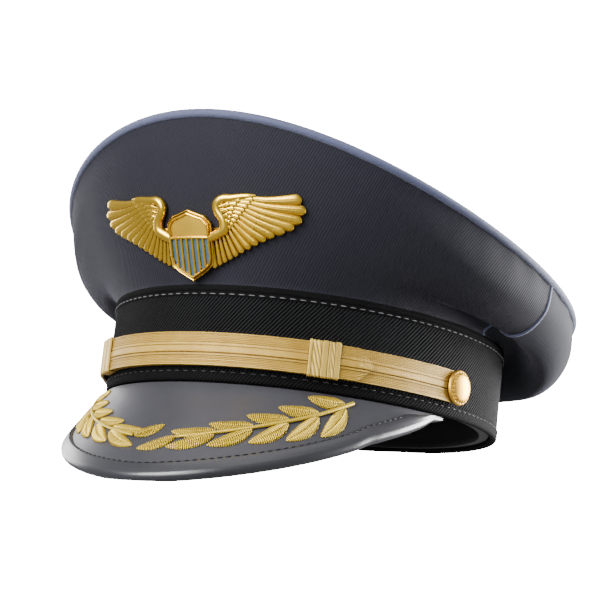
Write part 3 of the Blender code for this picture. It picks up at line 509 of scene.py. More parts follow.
def ribbed(outline, depths, ribs, samples):
    # carry an outline round the band, its columns leaning so that whole ribs follow them:
    # offset + depth (rib - 1), at an angle that grows by height / tan lean
    offsets, heights = outline.T
    share = np.arange(ribs * samples + 1)[:, None] / (ribs * samples)
    leanDegrees = np.degrees((heights - heights.min()) / math.tan(math.radians(braid["lean"]))
                             / (0.5 * (halfWidth + halfLength)))
    angle = 360.0 * share - 180.0 + leanDegrees
    height = heights + 0.0 * share
    points = place(angle, offsets + depths * (ridge(share * ribs) - 1.0), height)
    # the cloth's own lines, which carry the braids' painted groove shade and rib sheen, follow the ribs: u
    # is their count times the material's line
    reach = runOf(outline)
    return points, np.stack(np.broadcast_arrays(braid["line"] * ribs * share, reach), -1)


def rounded(low, high, inner, outer, radius, steps=5):
    # an upright wall's outline: (offset, height), outer face first, its corners turned at radius
    turn = np.linspace(0.0, 0.5 * np.pi, steps)
    corners = []
    for x, y, start in ((outer, high, 0.0), (inner, high, 0.5), (inner, low, 1.0), (outer, low, 1.5)):
        cx = x - radius * (1.0 if x == outer else -1.0)
        cy = y - radius * (1.0 if y == high else -1.0)
        angle = turn + start * np.pi
        corners.append(np.stack([cx + radius * np.cos(angle), cy + radius * np.sin(angle)], 1))
    return np.concatenate(corners)


def between(outline, most):
    # add even points so that no step of an outline is longer than most
    parts = []
    for first, last in zip(outline[:-1], outline[1:]):
        count = max(1, int(np.ceil(np.linalg.norm(last - first) / most)))
        share = np.arange(count)[:, None] / count
        parts.append(first + (last - first) * share)
    return np.concatenate(parts + [outline[-1:]])


def makeBand():
    # braid, welt and hem: outlines of (offset, height) in mm carried round the band
    low, high = band["hem"] + band["gap"], band["height"] - band["welt"] - band["gap"]
    face = np.stack([np.full(14, 0.15), np.linspace(low - 0.4, high + 0.4, 14)], 1)
    outline = closed(np.concatenate([face, [[-band["wall"], high]], [[-band["wall"], low]]]))
    deep = np.where(outline[:, 0] > 0.0, braid["depth"], 0.0)
    points, uv = ribbed(outline, deep, braid["ribs"], braid["samples"])
    makePiece("band_braid_cover", [skin(points, uv=uv)], bandBraid, ("band_cover",))

    # the welt: a narrow fold, a groove, then a fuller roll round the top edge
    welt = np.array([(-1.4, 36.8), (0.15, 36.75), (0.45, 37.2), (0.5, 38.2), (0.35, 38.75),
                     (0.02, 38.95), (0.35, 39.15), (0.62, 39.8), (0.62, 40.9), (0.3, 41.7),
                     (-0.35, 42.1), (-1.0, 41.8), (-1.4, 41.2)])
    welt = closed(between(welt, 0.5))
    deep = np.where(welt[:, 0] > 0.1, 0.12, 0.0)
    points, uv = ribbed(welt, deep, 2 * braid["ribs"], 3)
    makePiece("band_welt", [skin(points, uv=uv)], bindingBraid, ("band_top_binding",))

    # the hem: turned under at a full lip and carried in to the sweatband
    hem = np.array([(-1.4, 5.0), (0.1, 5.1), (0.45, 4.6), (0.5, 3.2), (0.5, 1.9), (0.35, 0.9),
                    (-0.1, 0.25), (-0.8, 0.0), (-1.5, 0.05), (-2.2, 0.4), (-2.8, 1.1), (-2.9, 2.4),
                    (-2.5, 3.4), (-1.4, 3.6)])
    hem = closed(between(hem, 0.6))
    deep = np.where((hem[:, 0] > -0.2) & (hem[:, 1] < 5.05), 0.2, 0.0)
    points, uv = ribbed(hem, deep, braid["ribs"], 5)
    points[..., 2] = np.maximum(points[..., 2], 0.0)
    makePiece("band_hem", [skin(points, uv=uv)], bindingBraid, ("band_bottom_binding",))

    for name, thread, offset, height, length in (("band_stitching", greyThread, 0.52, 37.75, 2.9),
                                                 ("hem_stitching", shadedGreyThread, 0.5, 4.15, 2.7)):
        def seam(angle, lift):
            # a level line round the band's face
            return place(angle, offset + lift, height)

        makePiece(name, [stitches(seam, -180.0, 180.0, length, 4.4, 0.24)], thread)


sweat = {"roll": 3.6, "visorEnds": (66.0, 74.0), "wave": 0.18, "seams": (31.0, 4.6), "bowHeight": 12.5,
         "bowHalf": 11.0}


def slackOf(angle):
    # the leather's waves: wave sin(9 angle + 1)
    return sweat["wave"] * np.sin(np.radians(angle) * 9.0 + 1.0)


def makeSweatband():
    # a leather strip whose foot is rolled out to meet the hem, but not where the visor is sewn in
    angle = np.linspace(-180.0, 180.0, 289)[:, None]
    roll = sweat["roll"] * smoothStep(np.abs(angle), *sweat["visorEnds"])
    corners = [(-6.6, 33.6), (-6.5, 31.0), (-6.6, 12.0), (-6.6, 6.0), (-6.4, 3.8), (-6.6, 2.9),
               (-7.2, 2.2), (-7.9, 1.9), (-8.0, 3.2), (-7.8, 5.0), (-7.8, 12.0), (-7.8, 31.0),
               (-7.6, 33.6), (-7.1, 34.0)]
    outline = closed(between(np.array(corners), 2.5))
    low = np.clip((6.0 - outline[:, 1]) / 4.0, 0.0, 1.0) * (outline[:, 0] > -7.3)
    soft = slackOf(angle) * np.clip(outline[:, 1] / 30.0, 0.0, 1.0)
    points = place(angle, outline[:, 0] + roll * low + soft, outline[:, 1])
    points[..., 2] = np.maximum(points[..., 2], 0.0)
    makePiece("sweatband_leather", [skin(points)], sweatLeather, ("sweatband",))

    rows = []
    for height in sweat["seams"]:
        def seam(a, lift):
            # a level line on the leather's inner face
            return place(a, -7.85 - lift + slackOf(a), height)

        rows.append(stitches(seam, -176.0, 176.0, 2.4, 3.4, 0.2))
    makePiece("sweatband_stitching", rows, darkThread)

    # the bow: two loops whose half height is |sin| of the way along, pinched by a knot
    span, middle = np.degrees(sweat["bowHalf"] / halfWidth), sweat["bowHeight"]
    share = np.linspace(-1.0, 1.0, 61)[:, None]
    half = 1.3 + 2.7 * np.abs(np.sin(0.5 * np.pi * np.minimum(1.0, 1.3 * np.abs(share)))) ** 1.3
    turn = np.linspace(0.0, 2.0 * np.pi, 25)[None]
    swell = 0.35 + 0.5 * np.sin(np.pi * np.minimum(1.0, np.abs(share))) ** 0.7
    bow = place(180.0 + span * share, -8.95 + swell * np.cos(turn), middle + half * np.sin(turn))
    knot = place(180.0 + 1.1 * np.cos(turn), -9.1 - 1.0 * np.sin(turn),
                 middle + np.linspace(-2.0, 2.0, 9)[:, None])
    makePiece("sweatband_ribbon_bow", [skin(bow, True), skin(knot, True)], liningSatin,
              ("sweatband_bow",))


makeBand()
makeSweatband()
print("head band made")

# visor

visor = {"reach": 56.5, "halfAngle": 71.0, "powers": (1.68, 1.15), "droop": (53.4, 9.6), "drop": 1.0,
         "end": 75.0, "step": 0.9, "tail": (52.0, 58.0, 75.2),
         "rimWidth": 8.5, "rimRadius": 2.7, "rimBack": 2.9, "flangeOut": -3.8,
         "topSheet": 0.7, "underSheet": (-2.5, -3.2)}


def visorReach(angle):
    # reach (1 - (angle / half angle)^1.68)^1.15, measured down the visor
    low, high, end = visor["tail"]

    def body(angle):
        # the reach's share of its full length
        share = np.clip(np.abs(angle) / visor["halfAngle"], 0.0, 1.0)
        return (1.0 - share ** visor["powers"][0]) ** visor["powers"][1]

    # past the first tail angle the edge runs in straight to nothing at the last one
    late = smoothStep(np.abs(angle), 2.0 * low - high, high)
    tail = body(low) * np.clip((end - np.abs(angle)) / (end - low), 0.0, 1.0)
    return visor["reach"] * (body(angle) * (1.0 - late) + tail * late)


def visorSpot(angle, down, lift):
    # (offset, height) so far down a slope of droop + turn (1 - cos angle), and so far off it
    slope = np.radians(visor["droop"][0] + visor["droop"][1] * (1.0 - np.cos(np.radians(angle))))
    offset = down * np.cos(slope) + lift * np.sin(slope)
    return offset, -visor["drop"] - down * np.sin(slope) + lift * np.cos(slope)


def onVisor(angle, down, lift):
    # the visor's own places in the world
    angle, down, lift = np.broadcast_arrays(angle, down, lift)
    return place(angle, *visorSpot(angle, down, lift))


def sheetReach(angle):
    # where the sheets end inside the rim: reach - rim back
    return np.maximum(visorReach(angle) - visor["rimBack"], 0.8)


def makeVisor():
    # top sheet, lining and rim: outlines of (offset, height) at each angle; an odd count has a middle
    count = int(2.0 * visor["end"] / visor["step"]) | 1
    angle = np.linspace(-visor["end"], visor["end"], count)[:, None]
    reach = sheetReach(angle)
    # the top sheet: a flange up inside the band, a step out below it, and the droop
    flange = np.array([(visor["flangeOut"], 11.0), (visor["flangeOut"], 5.0), (visor["flangeOut"], 0.6),
                       (-3.3, -0.3), (-1.9, -0.65), (-0.6, -0.7)])
    down = np.linspace(0.0, 1.0, 25)
    offset, height = visorSpot(angle, down * reach, 0.0)
    # a faint roll where the sheet leaves the band
    height = height + 0.35 * np.exp(-(down * reach / 2.5) ** 2)
    flange = np.broadcast_to(flange, (count,) + flange.shape)
    top = np.concatenate([flange, np.stack([offset, height], -1)], 1)
    under = top - visor["topSheet"] * leftNormals(top)
    outline = closed(np.concatenate([top, under[:, ::-1]], 1))
    sheet = place(angle, outline[..., 0], outline[..., 1])
    makePiece("visor_top_leather", [skin(sheet, True, count // 2)], visorLeather,
              ("visor_top_cover",))

    down = np.linspace(0.0, 1.0, 20)
    thin = np.clip((visor["tail"][2] - np.abs(angle)) / 5.0, 0.05, 1.0)
    depth = thin * np.repeat(visor["underSheet"], 20)
    share = np.concatenate([down, down[::-1]])
    start = np.minimum(1.8, 0.6 * reach)
    lining = onVisor(angle, start + (reach - start) * share, depth)
    makePiece("visor_underside", [skin(closed(lining), True, count // 2)], visorLeather,
              ("visor_lining",))

    # the rim binding: two legs on the sheets and a round lip, tapering where it meets the band
    taper = np.sin(0.5 * np.pi * np.clip((visor["tail"][2] + 0.4 - np.abs(angle)) / 11.0, 0.03, 1.0)) ** 0.8
    leg = np.maximum(reach - (visor["rimWidth"] - visor["rimBack"]), 0.35 * reach)
    turn = np.linspace(0.5 * np.pi, -0.5 * np.pi, 19)
    radius = visor["rimRadius"] * taper
    centre = 1.1 * taper - radius
    lipDown = reach + 0.2 + radius * np.cos(turn)
    lipLift = centre + radius * np.sin(turn)
    # the top face swells a little between the stitches and the lip
    face = np.linspace(0.12, 0.9, 7)
    faceDown = leg + (reach + 0.2 - leg) * face
    faceLift = centre + radius + 0.22 * np.sin(np.pi * face)
    starts = [(0.0, 0.05), (0.05, 0.55), (0.35, 0.95)]
    ends = [(0.9, 0.0), (0.0, 0.0), (0.0, 0.8)]
    pieces = [(leg + d, np.full_like(leg, h)) for d, h in starts]
    pieces += [(faceDown, faceLift), (lipDown, lipLift)]
    pieces += [(leg + d, centre - radius + h) for d, h in ends]
    pieces += [(reach + 0.3, centre - radius + 0.8), (reach + 0.3, np.full_like(leg, 0.2)),
               (leg + 0.4, np.full_like(leg, 0.2))]
    down = closed(np.stack([np.concatenate(part, 1) for part in zip(*pieces)], -1))
    rim = onVisor(angle, down[..., 0], down[..., 1])
    rim[..., 2] = np.maximum(rim[..., 2], 0.0)
    makePiece("visor_rim_binding", [skin(rim, True, count // 2)], rimLeather,
              ("visor_binding",), sharp=50.0)

    def seam(angle, lift):
        # a line on the rim's top face, 4.75 mm in from the sheets' ends
        return onVisor(angle, sheetReach(angle) - 4.75, 1.12 + lift)

    makePiece("visor_stitching", [stitches(seam, -60.0, 60.0, 2.7, 3.4, 0.36, 0.55)], darkThread)


makeVisor()
print("visor made")

# gold sprays on the visor

# places are (degrees, mm down); perDegree is the mm along for one degree
spray = {"stem": ((46.4, 3.0), (36.5, 13.0), (24.0, 22.8), (14.0, 28.9), (5.7, 32.8)),
         "stemRadius": 0.72, "perDegree": 1.95,
         "roots": (14.3, 22.4, 30.3, 37.3, 44.2),
         # the first and the last leaf's reach in each row
         "upper": ((-10.6, 1.9), (-9.8, -1.2)), "lower": ((-10.0, 8.6), (-6.4, 17.6)),
         "widths": (5.6, 7.4), "threads": 22, "thick": 1.1, "tooth": 0.85}


def leafGrid(roots, tips, widths, side):
    # a lens of half width s^0.5 (1 - s)^0.8 with a tooth and a rib for each thread, rows that lean to
    # the tip, a domed top (1 - |v|^2.4)^0.7 and a groove along its middle
    rows = 4 * spray["threads"] + 1
    s = np.linspace(0.0, 1.0, rows)[None, :, None]
    spread = np.linspace(-1.0, 1.0, 19)
    spread = np.sign(spread) * np.abs(spread) ** 1.35
    v = np.concatenate([spread, [0.6, 0.0, -0.6, -1.0]])[None, None]
    onTop = np.concatenate([np.ones(19), np.zeros(3), [1.0]])[None, None]
    phase = s * spray["threads"]
    lens = (s ** 0.5) * (1.0 - s) ** 0.8 / 0.438
    plain = 0.5 * widths[:, None, None] * np.minimum(1.0, lens)
    half = plain + spray["tooth"] * (phase % 1.0) * np.minimum(1.0, plain)
    reach = tips - roots
    length = np.linalg.norm(reach, axis=1)[:, None, None]
    ahead = unit(reach)[:, None, None]
    beside = turnedLeft(ahead)
    along = s * length + 0.45 * half * np.abs(v) ** 1.3 * (1.0 - s)
    curl = 0.05 * length * np.sin(np.pi * s) * np.sign(beside[..., 1])
    flat = roots[:, None, None] + ahead * along[..., None] + beside * (half * v + curl)[..., None]
    full = np.minimum(1.0, lens) ** 0.5
    crown = (1.0 - np.abs(v) ** 2.4) ** 0.7
    groove = np.exp(-(half * v / 0.28) ** 2) * (0.5 + 0.5 * (ridge(phase) < 0.7))
    threads = 0.42 * (ridge(phase, 0.8) - 1.0) * np.minimum(1.0, 4.0 * np.abs(v))
    lift = 0.35 + onTop * full * (spray["thick"] * crown + threads - 0.95 * groove * crown)
    points = onVisor(side * flat[..., 0] / spray["perDegree"], flat[..., 1], lift)
    # the material's lines, 0.9 mm each, fall on the threads
    uv = np.stack(np.broadcast_arrays(0.9 * phase, half * v), -1)
    return skin(points, uv=uv)


def makeSpray(name, node, side):
    # leaves in two rows and one at the end, whose reach runs evenly from the first to the last; a stem
    stem = threadThrough(np.array(spray["stem"]), 60)
    rootAngles = np.array(spray["roots"])
    rootDown = np.interp(rootAngles, stem[::-1, 0], stem[::-1, 1])
    order = np.linspace(0.0, 1.0, len(rootAngles))[:, None]
    scale = np.array([spray["perDegree"], 1.0])
    roots, tips = [], []
    for reaches, shift in ((spray["upper"], -1.1), (spray["lower"], 1.2)):
        first, last = np.array(reaches)
        root = np.stack([rootAngles, rootDown + shift], 1)
        roots.append(root)
        tips.append(root + first + (last - first) * order)
    roots.append(np.array([[5.6, 32.6]]))
    tips.append(np.array([[-2.6, 40.2] if side > 0 else [-1.2, 25.9]]))
    roots = np.concatenate(roots) * scale
    tips = np.concatenate(tips) * scale
    small, large = spray["widths"]
    widths = np.concatenate([small + (6.6 - small) * order[:, 0], 6.2 + (large - 6.2) * order[:, 0],
                             [5.4]])
    leaves = leafGrid(roots, tips, widths, side)

    angle = side * stem[:, 0]
    centres = onVisor(angle, stem[:, 1], 0.75)
    outward = unit(onVisor(angle, stem[:, 1], 1.75) - centres)
    across = unit(np.cross(np.gradient(centres, axis=0), outward))
    run = np.arange(len(stem))[:, None] / 4.0
    turns = np.linspace(0.0, 1.0, 13)
    thin = np.linspace(1.15, 0.75, len(stem))[:, None]
    radius = spray["stemRadius"] * (1.0 + 0.1 * ridge(run + turns)) * thin
    cord = skin(tube(centres, across, outward, radius), True)
    makePiece(name, [leaves, cord], bullionThread, (node,), sharp=60.0)


for side, word in ((1, "left"), (-1, "right")):
    makeSpray("spray_" + word, "laurel_" + word, side)
print("sprays made")

# crown

crown = {"overhang": (27.8, -3.7, -3.0), "rise": (33.4, 27.4, 9.0), "bulge": 3.0, "cloth": 1.5,
         "pipingRadius": 2.0, "pipingPitch": 1.35, "seam": 91.0, "slack": (40.0, 142.0), "puff": 3.4,
         "liningInset": 4.1,
         "frontShares": (0.02, 0.12, 0.26, 0.40, 0.55, 0.70, 0.85),
         "sideFold": ((0.0, 1.7), (0.17, 5.3), (0.32, 1.6), (0.44, 0.6), (0.62, 2.2), (0.80, 6.6),
                      (0.95, 13.5)),
         "rearFold": ((0.0, 1.7), (0.16, 3.5), (0.30, -2.6), (0.47, -10.0), (0.70, -13.5), (0.93, -10.0),
                      (1.07, -1.0))}


def wave(terms, angle):
    # a + b cos angle + c cos 2 angle
    t = np.radians(angle)
    return terms[0] + terms[1] * np.cos(t) + terms[2] * np.cos(2.0 * t)


def edgeOffset(angle):
    # how far the crown's edge stands out from the band
    return wave(crown["overhang"], angle)


def edgeHeight(angle):
    # the band's height and the crown's rise above it
    return band["height"] + wave(crown["rise"], angle)


def frontWall(angle, share, lift=0.0):
    # a straight rise from the band to the piping, bowed out by bulge sin(pi share)
    rise = edgeHeight(angle) - 2.7 - band["height"] - 0.4
    run = edgeOffset(angle) + 0.5
    lean = run + crown["bulge"] * math.pi * np.cos(math.pi * share)
    length = np.hypot(lean, rise)
    offset = run * share + crown["bulge"] * np.sin(math.pi * share) + lift * rise / length
    return offset, band["height"] + 0.4 + rise * share - lift * lean / length


def wallCurve(angles, samples=7):
    # the taut front, the side fold and the rear sag, blended by angle, as one smooth curve per angle
    angles = np.asarray(angles, float)
    run = edgeOffset(angles)[:, None]
    taut = np.stack(frontWall(angles[:, None], np.array(crown["frontShares"])), -1)
    folds = [np.array(crown[key]) for key in ("sideFold", "rearFold")]
    side, rear = (np.stack([fold[:, 0] * run, band["height"] + fold[:, 1] + 0.0 * run], -1)
                  for fold in folds)
    slack = smoothStep(np.abs(angles), crown["slack"][0], crown["seam"])[:, None, None]
    back = smoothStep(np.abs(angles), crown["seam"] - 12.0, crown["slack"][1])[:, None, None]
    body = (taut * (1.0 - slack) + side * slack) * (1.0 - back) + rear * back
    foot = np.stack([0.0 * run, band["height"] - 0.3 + 0.0 * run], -1)
    end = np.stack([run + 0.3, edgeHeight(angles)[:, None] - 1.5], -1)
    curve = threadThrough(np.concatenate([foot, body, end], 1), samples)
    for _ in range(4):
        curve[:, 1:-1] = 0.5 * curve[:, 1:-1] + 0.25 * (curve[:, :-2] + curve[:, 2:])
    return curve


def creases(angles, count):
    # puckers where the cloth is sewn in, and a few long soft folds where it hangs slack
    a = np.radians(angles)[:, None]
    s = np.linspace(0.0, 1.0, count)[None]
    loose = smoothStep(np.abs(angles), 35.0, 100.0)[:, None]
    pucker = np.sin(31.0 * a + 2.0 * np.sin(7.0 * a)) * np.exp(-(s - 0.06) ** 2 / 0.004)
    pucker = pucker * (0.10 + 0.25 * loose)
    gather = np.sin(43.0 * a + 1.5 * np.sin(5.0 * a)) * np.exp(-(1.0 - s) ** 2 / 0.006)
    gather = gather * (0.05 + 0.18 * loose)
    folds = loose * 0.55 * np.sin(6.0 * a + 5.0 * s) * np.sin(2.3 * a - 3.0 * s + 0.7) * np.sin(np.pi * s)
    backSeam = -0.55 * np.exp(-((np.abs(angles)[:, None] - 180.0) / 1.0) ** 2)
    return pucker + gather + folds + backSeam


def wallSheet(angles):
    # the outer face, and the inner one a cloth's thickness to its left
    curve = wallCurve(angles)
    left = leftNormals(curve)
    outer = curve - left * creases(angles, curve.shape[1])[..., None]
    inner = outer + left * crown["cloth"]
    outline = closed(np.concatenate([outer, inner[:, ::-1]], 1))
    return place(angles[:, None], outline[..., 0], outline[..., 1])


def wallLine(angle, lift):
    # one line up the wall's face at a single angle
    curve = wallCurve(np.array([angle]), 24)[0]
    return place(angle, *(curve - leftNormals(curve) * lift).T)


def ribbedCord(centres, across, outward, radius, pitch, flat=1.0, sides=12):
    # a round cord with ribs that run a third of a turn round it for each pitch of length
    run = runOf(centres) / mm
    total = round(run[-1] / pitch)
    fine = np.linspace(0.0, run[-1], 4 * total + 1)
    spots, wide, up = (np.stack([np.interp(fine, run, vectors[:, i]) for i in range(3)], -1)
                       for vectors in (centres, across, outward))
    turns = np.linspace(0.0, 1.0, sides + 1)
    depth = 0.11 * (ridge((fine / pitch)[:, None] + 3.0 * turns) - 1.0)
    return tube(spots, unit(wide) * flat, unit(up), radius * (1.0 + depth), sides)


def makeCrownWall():
    # three pieces of cloth with a gap of 2 edge degrees for each side cord
    edge = 0.35
    front = np.linspace(-crown["seam"] + edge, crown["seam"] - edge, 183)
    pieces = [makePiece("crown_cloth_front", [skin(wallSheet(front), True, 91)], crownCloth,
                        ("crown_front_quarter",))]
    for side, word in ((1, "left"), (-1, "right")):
        rear = side * np.linspace(crown["seam"] + edge, 180.0, 92)
        pieces.append(makePiece("crown_cloth_rear_" + word, [skin(wallSheet(rear), True)], crownCloth,
                                ("crown_rear_quarter_" + word,)))
        centres = wallLine(side * crown["seam"], -0.25)
        outward = unit(wallLine(side * crown["seam"], 1.0) - wallLine(side * crown["seam"], 0.0))
        across = unit(np.cross(np.gradient(centres, axis=0), outward))
        makePiece("seam_cord_" + word, [skin(ribbedCord(centres, across, outward, 1.0, 1.2, 1.25), True)],
                  pipingCloth, ("seam_piping_" + word,))
    return pieces


def topRing(share, angle, inset, drop):
    # plan: middle + share (edge - middle); height: a + b share cos angle + c share^2 cos 2 angle
    t = np.radians(angle)
    wide = (halfWidth + edgeOffset(angle) - inset) * np.sin(t)
    deep = -(halfLength + edgeOffset(angle) - inset) * np.cos(t)
    middle = 0.5 * (edgeOffset(180.0) - edgeOffset(0.0))
    rise = crown["rise"]
    height = band["height"] + rise[0] + rise[1] * share * np.cos(t) + rise[2] * share ** 2 * np.cos(2.0 * t)
    return np.stack(np.broadcast_arrays(share * wide, middle + share * (deep - middle), height - drop), -1)


def makeCrownTop():
    # rings of the top, lining and shield: share from the middle 0 to the edge 1
    angle = np.linspace(0.0, 360.0, 241)[None]
    share = np.sin(0.5 * np.pi * np.linspace(0.0, 1.0, 34))[:, None]
    gathers = 0.22 * share ** 10 * np.sin(np.radians(angle) * 44.0 + 2.0 * np.sin(np.radians(angle) * 5.0))
    soft = 0.35 * np.sin(np.radians(angle) * 3.0 + 4.0 * share) * np.sin(np.pi * share)
    puff = crown["puff"] * (1.0 - share ** 7) + gathers * (1.0 - share ** 60) + soft
    top = topRing(share, angle, 1.3, -0.9 - puff)
    under = topRing(share, angle, 1.3, 0.3 - puff)
    local = np.concatenate([top, under[::-1]], 0)
    piece = makePiece("crown_cloth_top", [skin(toWorld(local), uv=local[..., :2])], crownCloth,
                      ("crown_top",))
    turn = np.linspace(-180.0, 180.0, 721)
    centres = place(turn, edgeOffset(turn), edgeHeight(turn))
    outward = place(turn, edgeOffset(turn) + 1.0, edgeHeight(turn)) - centres
    upward = place(turn, edgeOffset(turn), edgeHeight(turn) + 1.0) - centres
    cord = ribbedCord(centres, outward, upward, crown["pipingRadius"] * 1.06, crown["pipingPitch"])
    makePiece("crown_edge_piping", [skin(cord)], pipingCloth, ("crown_piping",))

    # the lining: pleats of 0.7 mm that fade to the middle, a straight wall down into the band
    share = np.concatenate([np.linspace(0.0, 0.88, 16), np.full(9, 0.88)])[:, None]
    drop = 6.0 + 0.6 * share ** 3 * (ridge(angle / 7.5, 1.0) - 1.0)
    dome = topRing(share, angle, 2.5, drop)
    t = np.radians(angle)
    wide, deep = halfWidth - crown["liningInset"], halfLength - crown["liningInset"]
    wall = np.stack(np.broadcast_arrays(wide * np.sin(t), -deep * np.cos(t), band["height"] + 6.0), -1)
    foot = wall - np.array([0.0, 0.0, 14.0])
    down = np.clip(np.linspace(-15.0 / 8.0, 1.0, 25), 0.0, 1.0)[:, None, None]
    outside = np.concatenate([dome[:16], (dome[-9:] * (1.0 - down[-9:]) + wall * down[-9:])[1:], foot], 0)
    inward = unit((outside - outside[:, :120].mean(1, keepdims=True)) * np.array([1.0, 1.0, 0.0]))
    falling = np.concatenate([np.ones(16), np.linspace(0.8, 0.0, 8), [0.0]])[:, None, None]
    inside = outside - inward * (1.0 - falling) * 0.8 - np.array([0.0, 0.0, 0.8]) * falling
    cup = toWorld(np.concatenate([outside, inside[::-1]], 0))
    liner = makePiece("crown_satin_lining", [skin(cup)], liningSatin, ("crown_lining",),
                      sharp=60.0)

    # the clear shield, a little wavy, with a raised rim
    share = 0.42 * np.sin(0.5 * np.pi * np.linspace(0.0, 1.0, 14))[:, None]
    rim = 0.5 * np.exp(-((share - 0.405) / 0.006) ** 2)
    upper = topRing(share, angle, 2.5, 8.1 + rim)
    lower = topRing(share, angle, 2.5, 8.6 + rim)
    makePiece("clear_sweat_shield", [skin(toWorld(np.concatenate([upper, lower[::-1]], 0)))], clearFilm,
              ("sweat_shield",))
    return piece, liner


wallPieces = makeCrownWall()
topPiece, liningPiece = makeCrownTop()
print("crown made")

# chin strap, slides and buttons

strap = {"height": 13.3, "width": 14.0, "under": 1.3, "wall": 1.2, "gap": 0.3, "tip": 50.5, "pointed": 4.0,
         "back": -44.0, "step": (-54.0, -46.0), "button": 78.2,
         "sunk": 0.28, "proud": 0.46}   # the ribs' feet below the face; their most, clear of the slides
strapEnd = math.degrees(0.5 * strap["width"] / halfLength)


def braidRelief(v):
    # v mm above the strap's middle: fine ribs, a woven row, a broad rib, a thin one, fine ribs, selvedges
    fine = 0.34 * ridge(v / 0.72) * ((v > 2.6) | (v < -3.0))
    woven = 0.12 * ((v > 1.6) & (v <= 2.6))
    broad = 0.5 * np.clip(1.0 - ((v + 0.1) / 1.45) ** 4, 0.0, 1.0) ** 0.5
    thin = 0.52 * np.clip(1.0 - ((v + 2.35) / 0.5) ** 2, 0.0, 1.0) ** 0.5
    selvedge = 0.4 * np.clip(1.0 - ((np.abs(v) - 6.75) / 0.3) ** 2, 0.0, 1.0) ** 0.5
    return fine + woven + broad + thin + selvedge


def strapGrid(angles, inner, half):
    # ribs run on to the cut ends; every 0.9 mm of length a thread crosses them
    v = np.concatenate([np.linspace(-7.0, 7.0, 99), np.linspace(7.0, -7.0, 6)])
    front = np.concatenate([np.ones(99), np.zeros(6)])
    across = np.clip(v, -half[:, None], half[:, None])
    run = np.radians(angles)[:, None] * halfLength
    weft = ridge(run / 1.8) * ((across > 1.6) & (across < 2.6)) * 0.2
    weft = weft - 0.22 * (np.abs(across + 1.7) < 0.16) * (ridge(run / 2.2) > 0.5)
    edge = 0.12 * (ridge(run / 1.6) - 0.5) * (np.abs(v) > 6.95)
    height = strap["height"] + across + edge * np.sign(v)
    relief = np.minimum(braidRelief(across) + weft, strap["proud"])
    offset = inner[:, None] + front * (strap["wall"] - strap["sunk"] + relief)
    outline = closed(np.stack([offset, height], -1))
    return skin(place(angles[:, None], outline[..., 0], outline[..., 1]), True)


def roundEnd(distance):
    # half the width at a distance in degrees from a round end
    share = np.minimum(1.0, distance / strapEnd)
    return 0.5 * strap["width"] * np.sqrt(np.maximum(0.0016, 1.0 - (1.0 - share) ** 2))


def makeStrap():
    # the upper length steps out over the lower one; each has a round end and the upper one a point
    start = -strap["button"] - strapEnd
    turn = strapEnd * (1.0 - np.cos(np.linspace(0.0, 0.5 * np.pi, 12)))
    pointStart = strap["tip"] - strap["pointed"]
    angles = np.concatenate([start + turn[:-1], np.arange(start + strapEnd, pointStart, 0.34),
                             np.linspace(pointStart, strap["tip"], 22)])
    low, high = strap["step"]
    step = np.clip((angles - low) / (high - low), 0.0, 1.0)
    raised = strap["under"] + (strap["wall"] + strap["gap"]) * step
    taper = np.clip(0.06 + 0.94 * (strap["tip"] - angles) / strap["pointed"], 0.0, 1.0)
    point = 0.5 * strap["width"] * taper
    upper = strapGrid(angles, raised, np.minimum(roundEnd(angles - start), point))
    makePiece("strap_braid_upper", [upper], strapBraid, ("strap_upper",), "chin_strap", 55.0)
    angles = np.concatenate([np.arange(strap["back"], -start - strapEnd, 0.34), (-start - turn)[::-1]])
    lower = strapGrid(angles, np.full(len(angles), strap["under"]), roundEnd(-start - angles))
    makePiece("strap_braid_lower", [lower], strapBraid, ("strap_lower",), "chin_strap", 55.0)


slide = {"centre": 37.416, "half": 4.016, "offsets": (0.62, 4.32), "rise": 7.3, "wall": 0.5,
         "corner": 0.35}


def slideRelief(x):
    # x from -1 to 1 across the slide: plain edge, woven panel, groove, plain rib, fine rib, woven
    # panel, edge
    plain = 0.42 * ((x < -0.8) | ((x > -0.14) & (x < 0.2)) | (x > 0.66))
    fine = 0.34 * np.clip(1.0 - ((x - 0.3) / 0.07) ** 2, 0.0, 1.0) ** 0.5
    groove = -0.12 * np.exp(-((x + 0.2) / 0.04) ** 2)
    return plain + fine + groove


def makeSlide(name, node, side):
    # a loop round the strap; its outer face carries the ribs, its inner face is plain
    low, high = slide["offsets"]
    rise = slide["rise"]
    loop = between(closed(rounded(-rise, rise, low, high, slide["corner"])), 0.35)
    outward = -leftNormals(loop)
    outward[0] = outward[-1] = unit(outward[0] + outward[-1])
    if (outward * (loop - loop.mean(0))).sum() < 0.0:
        outward = -outward
    x = np.linspace(-1.0, 1.0, 81)
    facing = smoothStep(loop[:, 0], high - 0.8, high)[:, None]
    panel = ((x > -0.78) & (x < -0.24)) | ((x > 0.36) & (x < 0.64))
    slant = 0.2 * panel * ridge(x * 4.2 + loop[:, 1:] / 5.2, 0.8)
    proud = slide["wall"] * (0.45 + 0.55 * facing) + facing * (slideRelief(x) * 1.1 + slant * 1.6)
    edge = np.clip((1.0 - np.abs(x)) / 0.05, 0.0, 1.0) ** 0.5
    proud = proud * (0.55 + 0.45 * edge)
    depth = closed(np.concatenate([proud, np.zeros((len(loop), 3))], 1)[..., None])[..., 0]
    around = closed(np.concatenate([x, [0.98, 0.0, -0.98]])[:, None])[:, 0]
    outline = loop[:, None] + outward[:, None] * depth[..., None]
    points = place(side * slide["centre"] + slide["half"] * around[None], outline[..., 0],
                   strap["height"] + outline[..., 1])
    makePiece(name, [skin(points)], slideBraid, (node,), node, 45.0)


button = {"radius": 7.8, "edge": 1.2, "dome": 3.0, "seat": 2.8,
          "dots": 22, "dotRing": 0.82, "dotDepth": 0.7}


